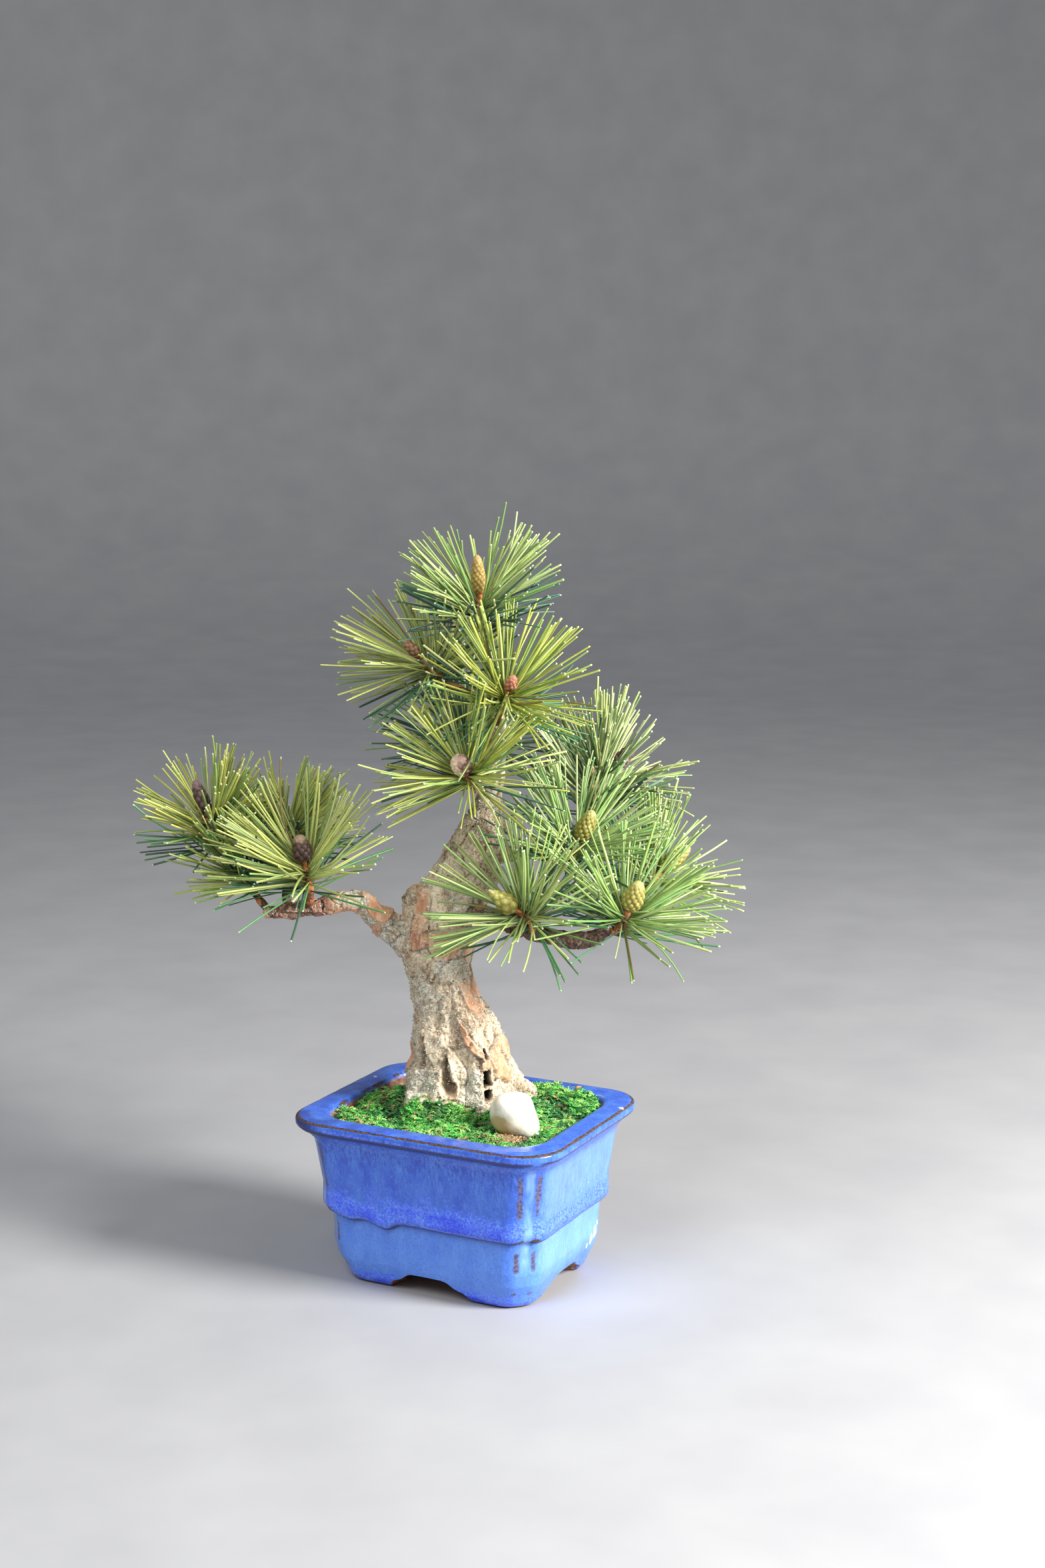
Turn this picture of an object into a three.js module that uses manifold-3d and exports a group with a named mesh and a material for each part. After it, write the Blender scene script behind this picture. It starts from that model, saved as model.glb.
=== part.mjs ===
// A small pine bonsai in a glazed, footed pot. Millimetres, +Z up, the pot's long side along X.
// The pot stands on z = 0. The tree's best side is turned away from the pot's long side, so its
// places are written as (u, v, z): u to the right of that best side, v out of it, z up.
import * as THREE from "three";
import { mergeVertices } from "three/addons/utils/BufferGeometryUtils.js";
import Module from "manifold-3d";

const wasm = await Module();
wasm.setup();

// ---------------------------------------------------------------- driving dimensions

const TREE_TURN = THREE.MathUtils.degToRad(26.87); // best side of the tree, from the pot's long side
const SEAT_GAP = 0.3; // clearance where one piece rests on or in another

const POT_LENGTH = 130; // over the rim
const POT_DEPTH = 107.4;
const RIM_HEIGHT = 76.6;
const RIM_WIDTH = 12; // flat top of the rim
const FLOOR_TOP = 14.5;
const FOOT_HEIGHT = 9.5; // top of the arches between the feet
const RECESS_HEIGHT = 10; // hollow under the floor
const FOOT_WIDTH = 8.5; // thickness of the skirt that the feet are cut from
const ARCH_HALF_SPAN = 21;
const DRAIN_RADIUS = 6;
const CORNER_ANGLES = [0, 20, 40, 50, 70, 90]; // points round one corner of the pot, in degrees

const SOIL_TOP = 65;
const MOSS_EDGE = 73; // height of the moss along the rim
const MOSS_MOUND = 5; // how much higher it is at the trunk
const MOSS_STEPS = 5; // extra points along each side of the moss

const NEEDLE_LENGTH = 42;
const CORE_RADIUS = 4.5; // the knot that the needles of one sprig grow from
const TRUNK_SIDES = 18;
const BRANCH_SIDES = 10;
const TWIG_SIDES = 7;

// Outer wall of the pot: [height, how far in from the rim's outer edge, corner radius, width of the
// flat that cuts the corner off].
const POT_OUTSIDE = [
  [0, 21.6, 8.5, 3],
  [0.8, 19.9, 10, 3],
  [3, 17.9, 11.8, 3],
  [7, 16.4, 12.5, 3],
  [12, 14.4, 12.5, 3],
  [18, 13.3, 12.5, 3],
  [25, 13.3, 12.5, 3],
  [32, 12.4, 12.5, 3],
  [33.4, 10.2, 12.8, 3],
  [36, 9.9, 12.8, 3],
  [45, 9.8, 12.8, 3],
  [52, 8.8, 13, 3],
  [60, 7.6, 13.8, 3],
  [66, 6.1, 16, 2.5],
  [69, 3.6, 17.5, 1],
  [71, 1.8, 18.5, 0],
  [73, 0.6, 19.5, 0],
  [75.6, 0, 19.5, 0],
  [RIM_HEIGHT, 1, 19, 0],
];

// Inner wall, from the rim down: same four values.
const POT_INSIDE = [
  [RIM_HEIGHT, RIM_WIDTH - 0.8, 16.5, 0],
  [75.6, RIM_WIDTH, 16, 0],
  [66, 13.6, 15, 0],
  [50, 15.4, 14, 0],
  [30, 17, 13, 0],
  [18, 19, 12, 0],
  [FLOOR_TOP, 23, 10, 0],
];

// Trunk sections: [height, centre u, centre v, half width, half depth].
const TRUNK = [
  [56, 0, -8, 12, 11],
  [66, 0, -8, 17, 15],
  [74, 0, -8, 25, 20],
  [80, -2, -8, 25.5, 20],
  [87, -2, -8, 23.5, 18.5],
  [95, -2, -7, 22, 17],
  [106, -3.5, -6, 20.5, 16],
  [118, -5.5, -5, 17.6, 14.5],
  [127, -9.3, -4, 14.6, 13],
  [136, -12, -4, 13.8, 12.5],
  [146, -13, -4, 15, 13],
  [156, -12, -4, 15.8, 13.5],
  [166, -10.5, -4, 17.3, 14],
  [173, -8, -4, 18.2, 14],
  [179, -2, -4, 16.5, 13],
  [186, 2, -4, 13.6, 12],
  [194, 4.8, -4, 11.6, 10.5],
  [201, 6.5, -4, 10, 9],
  [208, 8.2, -4, 7.4, 7],
  [215, 9.8, -4, 5.4, 5.4],
  [230, 13, -4, 4.4, 4.4],
  [245, 14, -4, 3.8, 3.8],
  [260, 13, -4, 3.3, 3.3],
  [274, 10.6, -3, 2.9, 2.9],
  [288, 8.8, -2, 2.3, 2.3],
];

// Branches: stations [u, v, z, radius] from inside the trunk outwards.
const BRANCH_LEFT = [
  [-20, -5, 146, 5.2],
  [-29, -5, 154, 5.6],
  [-40, -4, 161.5, 4.8],
  [-47, -2, 169.5, 4.2],
  [-54, 0, 170.5, 3.4],
  [-63, 2, 167.5, 2.9],
  [-76, 3, 166.5, 3],
  [-88, 2, 165.5, 1.9],
];
const BRANCH_RIGHT = [
  [-2, 2, 168, 3],
  [10, 12, 166, 3.2],
  [20, 22, 164, 3.2],
  [30, 29, 162.5, 3.2],
  [39, 31.5, 161, 3.2],
  [48, 34, 160, 3.1],
  [55, 36, 162, 2.9],
  [61, 37.5, 165.5, 2.2],
];
const BRANCH_BACK = [
  [4, -4, 186, 2.8],
  [17, -4, 189.5, 2.8],
  [28, -5, 191, 2.7],
  [40, -9, 189, 2.6],
  [52, -13, 184, 2.4],
  [64, -16, 176, 2.2],
  [73, -18, 170.5, 1.9],
];

// Sprigs: where the needles meet, the way the sprig points, where its twig leaves the wood, how
// far round from that way its needles spread, and the bud's [length, diameter, colour] if it has one.
const SPRIGS = {
  apex: {
    at: [6.5, -1, 300],
    aim: [-0.05, 0.05, 1],
    root: [9, -2, 287],
    spread: 80,
    bud: [17, 6.4, "yellow"],
  },
  upper_left: {
    at: [-16.5, -5, 274],
    aim: [-0.66, 0.1, 0.72],
    root: [12.5, -4, 256],
    spread: 95,
    bud: [10, 6, "red"],
  },
  upper_front: {
    at: [18, 18, 263],
    aim: [0.25, 0.6, 0.75],
    root: [13.8, -3, 248],
    spread: 95,
    bud: [8, 5, "red"],
  },
  middle_front: {
    at: [1.7, 30, 230.5],
    aim: [-0.25, 0.7, 0.6],
    root: [12, -2, 225],
    spread: 115,
    bud: [10, 8.6, "cork"],
  },
  middle_back: {
    at: [-1, -40, 236],
    aim: [-0.1, -0.95, 0.3],
    root: [12.5, -6, 227],
    spread: 100,
  },
  right_back: {
    at: [56, -24, 213],
    aim: [0, -0.05, 1],
    root: [41, -9.5, 188.5],
    spread: 75,
    bud: [9, 5, "red"],
  },
  right_outer: {
    at: [63, -39, 219],
    aim: [0.62, -0.35, 0.66],
    root: [54, -13.5, 182.5],
    spread: 85,
    bud: [15, 7, "dark"],
  },
  right_middle: {
    at: [48, 6, 195],
    aim: [0.35, 0.3, 0.85],
    root: [29, -5, 191],
    spread: 85,
    bud: [15, 8, "yellow"],
  },
  right_far: {
    at: [83.5, -19, 176],
    aim: [0.72, -0.2, 0.62],
    root: [71.5, -17.7, 171.5],
    spread: 95,
    bud: [17, 7.4, "yellow"],
  },
  right_front: {
    at: [68.5, 38, 171.5],
    aim: [0.28, 0.4, 0.85],
    root: [58, 36.7, 163.7],
    spread: 115,
    bud: [14.5, 9.2, "yellow"],
  },
  centre_front: {
    at: [24.5, 37, 172.3],
    aim: [-0.66, 0.42, 0.6],
    root: [30, 29, 162.5],
    spread: 115,
    bud: [16, 8.6, "yellow"],
  },
  left_front: {
    at: [-68.5, 17, 187.5],
    aim: [-0.12, 0.32, 0.9],
    root: [-68, 2.5, 167],
    spread: 100,
    bud: [12.5, 8.2, "dark"],
  },
  left_outer: {
    at: [-112, -5, 202.5],
    aim: [-0.28, 0.1, 0.95],
    root: [-86, 2.1, 165.7],
    spread: 90,
    bud: [17, 7.5, "dark"],
  },
  left_back: {
    at: [-81, -28, 193],
    aim: [0.1, -0.4, 0.9],
    root: [-78, 2.8, 166.2],
    spread: 85,
  },
};
const NEAREST_TO_BUD = 20; // degrees from the sprig's way that its innermost needles keep

const STONE = { at: [22, 27, 80.5], half: [10.8, 8.6, 9.2] }; // white stone on the moss
const PEBBLE = { at: [50.5, -19, 78.6], half: [1.7, 1.4, 1.3] };

// ---------------------------------------------------------------- materials

const paint = (color, roughness) => new THREE.MeshStandardMaterial({ color, roughness, metalness: 0 });
const GLAZE = paint(0x3f6fd0, 0.25);
const SOIL = paint(0x4a3828, 0.95);
const MOSS = paint(0x3f7a2c, 0.95);
const STONE_WHITE = paint(0xe6dfcd, 0.5);
const STONE_TAN = paint(0xb98a5e, 0.8);
const BARK = paint(0xa4805f, 0.9);
const BARK_DARK = paint(0x5a4334, 0.9);
const NEEDLES = paint(0x7f9f4a, 0.5);
const BUDS = {
  yellow: paint(0xa79a3c, 0.6),
  red: paint(0xa0624a, 0.7),
  cork: paint(0xc9ab86, 0.8),
  dark: paint(0x5d4740, 0.6),
};

// ---------------------------------------------------------------- geometry helpers

// Tree coordinates (u, v, z) to the pot's axes.
function place(u, v, z) {
  const c = Math.cos(TREE_TURN);
  const s = Math.sin(TREE_TURN);
  return new THREE.Vector3(u * c + v * s, u * s - v * c, z);
}

function indexed(points, faces) {
  const geometry = new THREE.BufferGeometry().setFromPoints(points);
  geometry.setIndex(faces);
  return geometry;
}

const middle = (ring) => ring.reduce((sum, p) => sum.add(p), new THREE.Vector3()).divideScalar(ring.length);

// A closed skin over rings of equal length, with a fan over each end ring.
function loft(rings) {
  const sides = rings[0].length;
  const last = (rings.length - 1) * sides;
  const points = [...rings.flat(), middle(rings[0]), middle(rings.at(-1))];
  const [start, end] = [points.length - 2, points.length - 1];
  const faces = [];
  for (let s = 0; s < sides; s++) {
    const next = (s + 1) % sides;
    for (let row = 0; row < last; row += sides) {
      faces.push(row + s, row + next, row + sides + next);
      faces.push(row + s, row + sides + next, row + sides + s);
    }
    faces.push(start, next, s, end, last + s, last + next);
  }
  return indexed(points, faces);
}

// A rectangle at one height, counter-clockwise, its corners rounded off and cut across by a flat.
// Extra points can be spread along its straights.
function roundedRing([height, halfX, halfY, radius, flat], edgeSteps = 0) {
  const leg = flat * Math.SQRT1_2;
  const ring = [];
  for (let corner = 0; corner < 4; corner++) {
    const signX = corner === 0 || corner === 3 ? 1 : -1;
    const signY = corner < 2 ? 1 : -1;
    CORNER_ANGLES.forEach((degrees, step) => {
      const angle = THREE.MathUtils.degToRad(90 * corner + degrees);
      const onLongSide = (step < CORNER_ANGLES.length / 2) === (corner % 2 === 1);
      const x = signX * (halfX - radius - (onLongSide ? leg : 0)) + radius * Math.cos(angle);
      const y = signY * (halfY - radius - (onLongSide ? 0 : leg)) + radius * Math.sin(angle);
      ring.push(new THREE.Vector3(x, y, height));
    });
  }
  return ring.flatMap((point, index) => {
    if ((index + 1) % CORNER_ANGLES.length) return [point];
    const next = ring[(index + 1) % ring.length];
    const along = (_, k) => point.clone().lerp(next, (k + 1) / (edgeSteps + 1));
    return [point, ...Array.from({ length: edgeSteps }, along)];
  });
}

const potRing = ([height, inset, radius, flat], edgeSteps) =>
  roundedRing([height, POT_LENGTH / 2 - inset, POT_DEPTH / 2 - inset, radius, flat], edgeSteps);

function toSolid(geometry) {
  const bare = new THREE.BufferGeometry();
  bare.setAttribute("position", geometry.getAttribute("position"));
  bare.setIndex(geometry.getIndex());
  const merged = mergeVertices(bare, 1e-4);
  const triVerts = new Uint32Array(merged.getIndex().array);
  const vertProperties = new Float32Array(merged.getAttribute("position").array);
  return new wasm.Manifold(new wasm.Mesh({ numProp: 3, vertProperties, triVerts }));
}

function toGeometry(solid) {
  const mesh = solid.getMesh();
  const geometry = new THREE.BufferGeometry();
  geometry.setAttribute("position", new THREE.BufferAttribute(new Float32Array(mesh.vertProperties), 3));
  geometry.setIndex(new THREE.BufferAttribute(new Uint32Array(mesh.triVerts), 1));
  return geometry;
}

const cut = (geometry, ...tools) =>
  toGeometry(tools.reduce((solid, tool) => solid.subtract(toSolid(tool)), toSolid(geometry)));

// A value from a table of [height, value, ...] rows, straight between its rows.
function valueAt(rows, height, column) {
  const sorted = [...rows].sort((a, b) => a[0] - b[0]);
  const after = Math.max(1, sorted.findIndex((row) => row[0] >= height));
  const [low, high] = [sorted[after - 1], sorted[after]];
  return THREE.MathUtils.mapLinear(height, low[0], high[0], low[column], high[column]);
}

// ---------------------------------------------------------------- pot

// The bracket-shaped arch between two feet, as a bar that runs through the whole pot.
function archBar(length) {
  const shape = new THREE.Shape();
  const flat = ARCH_HALF_SPAN * 0.36;
  const knee = ARCH_HALF_SPAN * 0.72;
  shape.moveTo(-ARCH_HALF_SPAN, -1);
  shape.lineTo(ARCH_HALF_SPAN, -1);
  shape.quadraticCurveTo(ARCH_HALF_SPAN - 1, FOOT_HEIGHT * 0.4, knee, FOOT_HEIGHT * 0.55);
  shape.quadraticCurveTo(knee - 3, FOOT_HEIGHT * 0.95, flat, FOOT_HEIGHT);
  shape.lineTo(-flat, FOOT_HEIGHT);
  shape.quadraticCurveTo(3 - knee, FOOT_HEIGHT * 0.95, -knee, FOOT_HEIGHT * 0.55);
  shape.quadraticCurveTo(1 - ARCH_HALF_SPAN, FOOT_HEIGHT * 0.4, -ARCH_HALF_SPAN, -1);
  const bar = new THREE.ExtrudeGeometry(shape, { depth: length, bevelEnabled: false, curveSegments: 4 });
  bar.translate(0, 0, -length / 2);
  return bar.rotateX(Math.PI / 2);
}

function potGeometry() {
  const walls = loft([...POT_OUTSIDE, ...POT_INSIDE].map((row) => potRing(row)));
  const underside = POT_OUTSIDE[0][1] + FOOT_WIDTH;
  const recess = loft([-1, RECESS_HEIGHT].map((height) => potRing([height, underside, 6, 0])));
  const drain = new THREE.CylinderGeometry(DRAIN_RADIUS, DRAIN_RADIUS, 3 * FLOOR_TOP, 20);
  drain.rotateX(Math.PI / 2);
  const across = archBar(2 * POT_DEPTH);
  const along = archBar(2 * POT_LENGTH).rotateZ(Math.PI / 2);
  return cut(walls, recess, across, along, drain);
}

// ---------------------------------------------------------------- trunk, branches and twigs

// Bark flutes: strongest at the roots, gone on the thin leader.
function flute(angle, height) {
  const depth = 0.07 * THREE.MathUtils.clamp((190 - height) / 110, 0, 1);
  return 1 + depth * Math.cos(5 * angle + 0.6) + 0.4 * depth * Math.cos(9 * angle + 2.1);
}

function trunkGeometry(grow = 0) {
  const rings = TRUNK.map(([height, u, v, halfU, halfV], row) => {
    const end = row === 0 ? -grow : row === TRUNK.length - 1 ? grow : 0;
    return Array.from({ length: TRUNK_SIDES }, (_, side) => {
      const angle = (-side / TRUNK_SIDES) * 2 * Math.PI;
      const across = halfU * flute(angle, height) + grow;
      const out = halfV * flute(angle, height) + grow;
      return place(u + across * Math.cos(angle), v + out * Math.sin(angle), height + end);
    });
  });
  return loft(rings);
}

// A round limb through stations [u, v, z, radius], with two rings to each span.
function limbGeometry(stations, sides, grow = 0) {
  const curve = new THREE.CatmullRomCurve3(stations.map(([u, v, z]) => place(u, v, z)));
  const steps = 2 * (stations.length - 1);
  const run = curve.getPoint(1).sub(curve.getPoint(0)).normalize();
  const reference = Math.abs(run.z) > 0.7 ? new THREE.Vector3(1, 0, 0) : new THREE.Vector3(0, 0, 1);
  const rings = [];
  for (let step = 0; step <= steps; step++) {
    const t = step / steps;
    const near = Math.min(stations.length - 2, Math.floor(step / 2));
    const radius = THREE.MathUtils.lerp(stations[near][3], stations[near + 1][3], step / 2 - near) + grow;
    const tangent = curve.getTangent(t);
    const side = reference.clone().cross(tangent).normalize();
    const over = tangent.clone().cross(side);
    const reach = step === 0 ? -grow : step === steps ? grow : 0;
    const centre = curve.getPoint(t).addScaledVector(tangent, reach);
    rings.push(
      Array.from({ length: sides }, (_, k) => {
        const angle = (k / sides) * 2 * Math.PI;
        return centre
          .clone()
          .addScaledVector(side, radius * Math.cos(angle))
          .addScaledVector(over, radius * Math.sin(angle));
      }),
    );
  }
  return loft(rings);
}

// A sprig's twig: out of the wood, then along the way that the sprig points.
function twigStations({ at, aim, root }) {
  const length = Math.hypot(...aim);
  const back = (distance) => at.map((value, k) => value - (aim[k] / length) * distance);
  const end = back(CORE_RADIUS + SEAT_GAP);
  const reach = Math.hypot(...end.map((value, k) => value - root[k]));
  const bend = back(CORE_RADIUS + SEAT_GAP + 0.2 * reach);
  const waist = root.map((value, k) => 0.6 * value + 0.4 * bend[k]);
  return [
    [...root, 1.7],
    [...waist, 1.6],
    [...bend, 1.5],
    [...end, 1.4],
  ];
}

// ---------------------------------------------------------------- soil, moss and stones

// The inner wall's outline at some height, drawn in by a clearance.
function insideRing(height, edgeSteps) {
  const inset = valueAt(POT_INSIDE, height, 1) + 2 * SEAT_GAP;
  return potRing([height, inset, valueAt(POT_INSIDE, height, 2), 0], edgeSteps);
}

function soilGeometry() {
  const heights = [FLOOR_TOP + 2 * SEAT_GAP, 18, 30, 50, SOIL_TOP];
  return loft(heights.map((height) => insideRing(height)));
}

// Moss height: a mound round the trunk, a swell at the far right, a dip at the far left corner
// and soft tufts.
function mossTop(point) {
  const trunk = place(0, -8, 0);
  const mound = MOSS_MOUND * Math.exp(-((Math.hypot(point.x - trunk.x, point.y - trunk.y) / 38) ** 2));
  const corner = Math.hypot(point.x + POT_LENGTH / 2, point.y - POT_DEPTH / 2);
  const dip = 4 * Math.exp(-((corner / 45) ** 2));
  const farRight = Math.hypot(point.x - POT_LENGTH / 2 + 28, point.y - POT_DEPTH / 2 + 14);
  const swell = 4.7 * Math.exp(-((farRight / 22) ** 2));
  return MOSS_EDGE + mound + swell - dip + 0.5 * Math.sin(point.x / 4.3) * Math.cos(point.y / 3.7);
}

function mossGeometry() {
  const base = SOIL_TOP + SEAT_GAP;
  const rings = [insideRing(base, MOSS_STEPS), insideRing(MOSS_EDGE - 5, MOSS_STEPS)];
  const edge = insideRing(MOSS_EDGE - 2, MOSS_STEPS);
  for (const scale of [1, 0.88, 0.7, 0.5, 0.3, 0.12]) {
    rings.push(
      edge.map(({ x, y }) => {
        const point = new THREE.Vector3(x * scale, y * scale, 0);
        return point.setZ(mossTop(point) - (scale === 1 ? 1.6 : 0));
      }),
    );
  }
  return loft(rings);
}

// A rounded, slightly boxy stone with one slanting side.
function stoneGeometry({ at, half }, detail, grow = 0) {
  const stone = new THREE.IcosahedronGeometry(1, detail);
  const position = stone.getAttribute("position");
  for (let i = 0; i < position.count; i++) {
    const [x, y, z] = [position.getX(i), position.getY(i), position.getZ(i)];
    const boxy = (Math.abs(x) ** 3 + Math.abs(y) ** 3 + Math.abs(z) ** 3) ** (-1 / 3);
    const lean = 1 - 0.16 * z * boxy;
    const u = x * boxy * lean * half[0] + 0.1 * z * half[0];
    const point = place(u, y * boxy * half[1], z * boxy * half[2]);
    point.addScaledVector(point.clone().normalize(), grow).add(place(...at));
    position.setXYZ(i, point.x, point.y, point.z);
  }
  // The tree's axes are a mirror of x, y, so the faces turn over to point out again.
  const turned = (_, i) => [0, 2, 1][i % 3] + 3 * Math.floor(i / 3);
  stone.setIndex(Array.from({ length: position.count }, turned));
  return stone;
}

// ---------------------------------------------------------------- needles and buds

// Tapered rods {a, b, ra, rb} stand for every slender thing when needles look for free space.
function rodsAlong(stations) {
  return stations.slice(1).map((end, k) => {
    const start = stations[k];
    return { a: place(...start.slice(0, 3)), b: place(...end.slice(0, 3)), ra: start[3], rb: end[3] };
  });
}

const clamp01 = (value) => Math.min(1, Math.max(0, value));

// Clear distance between two tapered rods, from the closest points of their axes.
function clearance(p, q) {
  const d1 = p.b.clone().sub(p.a);
  const d2 = q.b.clone().sub(q.a);
  const r = p.a.clone().sub(q.a);
  const [a, b, e] = [d1.lengthSq(), d1.dot(d2), d2.lengthSq()];
  const [c, f] = [d1.dot(r), d2.dot(r)];
  const spread = a * e - b * b;
  let s = spread > 1e-9 ? clamp01((b * f - c * e) / spread) : 0;
  const t = clamp01((b * s + f) / e);
  s = clamp01((b * t - c) / a);
  const gap = p.a.clone().addScaledVector(d1, s).distanceTo(q.a.clone().addScaledVector(d2, t));
  return gap - THREE.MathUtils.lerp(p.ra, p.rb, s) - THREE.MathUtils.lerp(q.ra, q.rb, t);
}

const budBase = ({ at, aim }) => {
  const way = place(...aim).normalize();
  return place(...at).addScaledVector(way, CORE_RADIUS + SEAT_GAP);
};

// A bud widens to its full diameter at 40% of its length and narrows again.
function budRods(sprig) {
  const [length, diameter] = sprig.bud;
  const way = place(...sprig.aim).normalize();
  const [base, waist, tip] = [0, 0.4, 1].map((part) => budBase(sprig).addScaledVector(way, part * length));
  return [
    { a: base, b: waist, ra: 0.2 * diameter, rb: diameter / 2 },
    { a: waist, b: tip, ra: diameter / 2, rb: 0.15 * diameter },
  ];
}

function knotRod({ at, aim }) {
  const a = place(...at);
  const b = a.clone().addScaledVector(place(...aim).normalize(), SEAT_GAP);
  return { a, b, ra: CORE_RADIUS, rb: CORE_RADIUS };
}

function budGeometry(sprig) {
  const [length, diameter] = sprig.bud;
  const outline = [[0, 0], [0.36, 0.01], [0.62, 0.15], [1, 0.4], [0.8, 0.7], [0.4, 0.94], [0, 1]];
  const profile = outline.map(([out, up]) => new THREE.Vector2((out * diameter) / 2, up * length));
  const bud = new THREE.LatheGeometry(profile, 9);
  const way = place(...sprig.aim).normalize();
  bud.applyQuaternion(new THREE.Quaternion().setFromUnitVectors(new THREE.Vector3(0, 1, 0), way));
  const base = budBase(sprig);
  return bud.translate(base.x, base.y, base.z);
}

// A knot whose faces are drawn out into needles. A needle that would touch anything is shortened,
// and left out where even a short one has no room.
function tuftGeometry({ at, aim, spread }, others, tuftNumber) {
  const centre = place(...at);
  const way = place(...aim).normalize();
  const ball = new THREE.IcosahedronGeometry(CORE_RADIUS, 1);
  const knot = mergeVertices(ball.deleteAttribute("normal").deleteAttribute("uv"));
  const turn = new THREE.Euler(0.7 * tuftNumber, 1.3 * tuftNumber, 0.4 * tuftNumber);
  knot.applyMatrix4(new THREE.Matrix4().makeRotationFromEuler(turn));
  knot.translate(centre.x, centre.y, centre.z);
  const position = knot.getAttribute("position");
  const index = knot.getIndex().array;
  const vertex = (_, i) => new THREE.Vector3().fromBufferAttribute(position, i);
  const points = Array.from({ length: position.count }, vertex);
  const faces = [];
  const needles = [];
  for (let face = 0; face < index.length; face += 3) {
    const corners = [index[face], index[face + 1], index[face + 2]];
    const foot = middle(corners.map((corner) => points[corner]));
    const out = foot.clone().sub(centre).normalize();
    const tilt = THREE.MathUtils.radToDeg(Math.acos(out.dot(way)));
    const ragged = 0.94 + 0.06 * Math.sin(7.3 * face + tuftNumber);
    const lengths = tilt > NEAREST_TO_BUD && tilt < spread ? [1, 0.75, 0.5, 0.3] : [];
    const rods = lengths.map((part) => {
      const b = centre.clone().addScaledVector(out, CORE_RADIUS + NEEDLE_LENGTH * ragged * part);
      return { a: foot, b, ra: CORE_RADIUS * 0.36, rb: 0 };
    });
    const rod = rods.find((free) => others.every((other) => clearance(free, other) > SEAT_GAP));
    if (rod) {
      needles.push(rod);
      const tip = points.push(rod.b) - 1;
      corners.forEach((corner, k) => faces.push(corner, corners[(k + 1) % 3], tip));
    } else {
      faces.push(...corners);
    }
  }
  return { geometry: indexed(points, faces), needles };
}

// ---------------------------------------------------------------- assembly

const bonsai = new THREE.Group();

function add(name, geometry, material) {
  const mesh = new THREE.Mesh(geometry, material);
  mesh.name = name;
  bonsai.add(mesh);
}

const trunkRods = rodsAlong(TRUNK.map(([z, u, v, halfU, halfV]) => [u, v, z, Math.max(halfU, halfV) + 1]));
const branches = { branch_left: BRANCH_LEFT, branch_right: BRANCH_RIGHT, branch_back: BRANCH_BACK };
const clearTrunk = trunkGeometry(SEAT_GAP);
const clearBranches = Object.values(branches).map((rows) => limbGeometry(rows, BRANCH_SIDES, SEAT_GAP));

add("pot", potGeometry(), GLAZE);
add("soil", cut(soilGeometry(), clearTrunk), SOIL);
add("moss", cut(mossGeometry(), clearTrunk, stoneGeometry(STONE, 2, SEAT_GAP)), MOSS);
add("white_stone", stoneGeometry(STONE, 2), STONE_WHITE);
add("tan_pebble", stoneGeometry(PEBBLE, 1), STONE_TAN);
add("trunk", trunkGeometry(), BARK);
for (const [name, stations] of Object.entries(branches)) {
  const bark = name === "branch_right" ? BARK_DARK : BARK;
  add(name, cut(limbGeometry(stations, BRANCH_SIDES), clearTrunk), bark);
}

const taken = [...trunkRods, ...Object.values(branches).flatMap(rodsAlong)];
const knots = {};
for (const [name, sprig] of Object.entries(SPRIGS)) {
  const stations = twigStations(sprig);
  knots[name] = knotRod(sprig);
  taken.push(knots[name], ...rodsAlong(stations));
  if (sprig.bud) taken.push(...budRods(sprig));
  add(`twig_${name}`, cut(limbGeometry(stations, TWIG_SIDES), clearTrunk, ...clearBranches), BARK_DARK);
  if (sprig.bud) add(`bud_${name}`, budGeometry(sprig), BUDS[sprig.bud[2]]);
}
Object.entries(SPRIGS).forEach(([name, sprig], number) => {
  const others = taken.filter((rod) => rod !== knots[name]);
  const { geometry, needles } = tuftGeometry(sprig, others, number);
  add(`needles_${name}`, geometry, NEEDLES);
  taken.push(...needles);
});

// The origin is the middle of the footprint of the whole object, on the surface it stands on.
const extent = new THREE.Box3().setFromObject(bonsai);
const centre = extent.getCenter(new THREE.Vector3());
bonsai.position.set(-centre.x, -centre.y, -extent.min.z);
bonsai.updateMatrixWorld(true);

export default bonsai;
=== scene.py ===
"""Looks of a small pine bonsai in a blue glazed pot.

Lengths are in millimetres until a mesh is made. The pot's middle is the origin, its long side runs
along x. The tree is written as (u, v, z): u to the right of its best side, v out of it, z up.
"""

import math
from typing import NamedTuple

import bpy
import numpy as np
from mathutils import Matrix, Vector


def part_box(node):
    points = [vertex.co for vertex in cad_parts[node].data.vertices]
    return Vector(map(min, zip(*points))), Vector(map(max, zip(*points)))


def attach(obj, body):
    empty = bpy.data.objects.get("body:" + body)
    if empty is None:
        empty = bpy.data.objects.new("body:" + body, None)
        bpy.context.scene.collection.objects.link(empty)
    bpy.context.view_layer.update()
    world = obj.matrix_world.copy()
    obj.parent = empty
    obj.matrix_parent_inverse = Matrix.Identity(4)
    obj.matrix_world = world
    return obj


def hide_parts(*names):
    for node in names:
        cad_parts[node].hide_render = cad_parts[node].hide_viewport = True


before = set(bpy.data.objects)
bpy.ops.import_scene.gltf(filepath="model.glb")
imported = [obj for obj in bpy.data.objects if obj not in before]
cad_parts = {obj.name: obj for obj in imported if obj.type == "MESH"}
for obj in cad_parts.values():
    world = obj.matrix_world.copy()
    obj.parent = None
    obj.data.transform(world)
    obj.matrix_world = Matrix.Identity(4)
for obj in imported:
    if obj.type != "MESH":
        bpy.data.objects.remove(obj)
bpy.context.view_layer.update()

METRE = 1000
TURN = math.radians(26.87)  # from the pot's long side to the tree's best side
pot_low, pot_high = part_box("pot")
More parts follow.
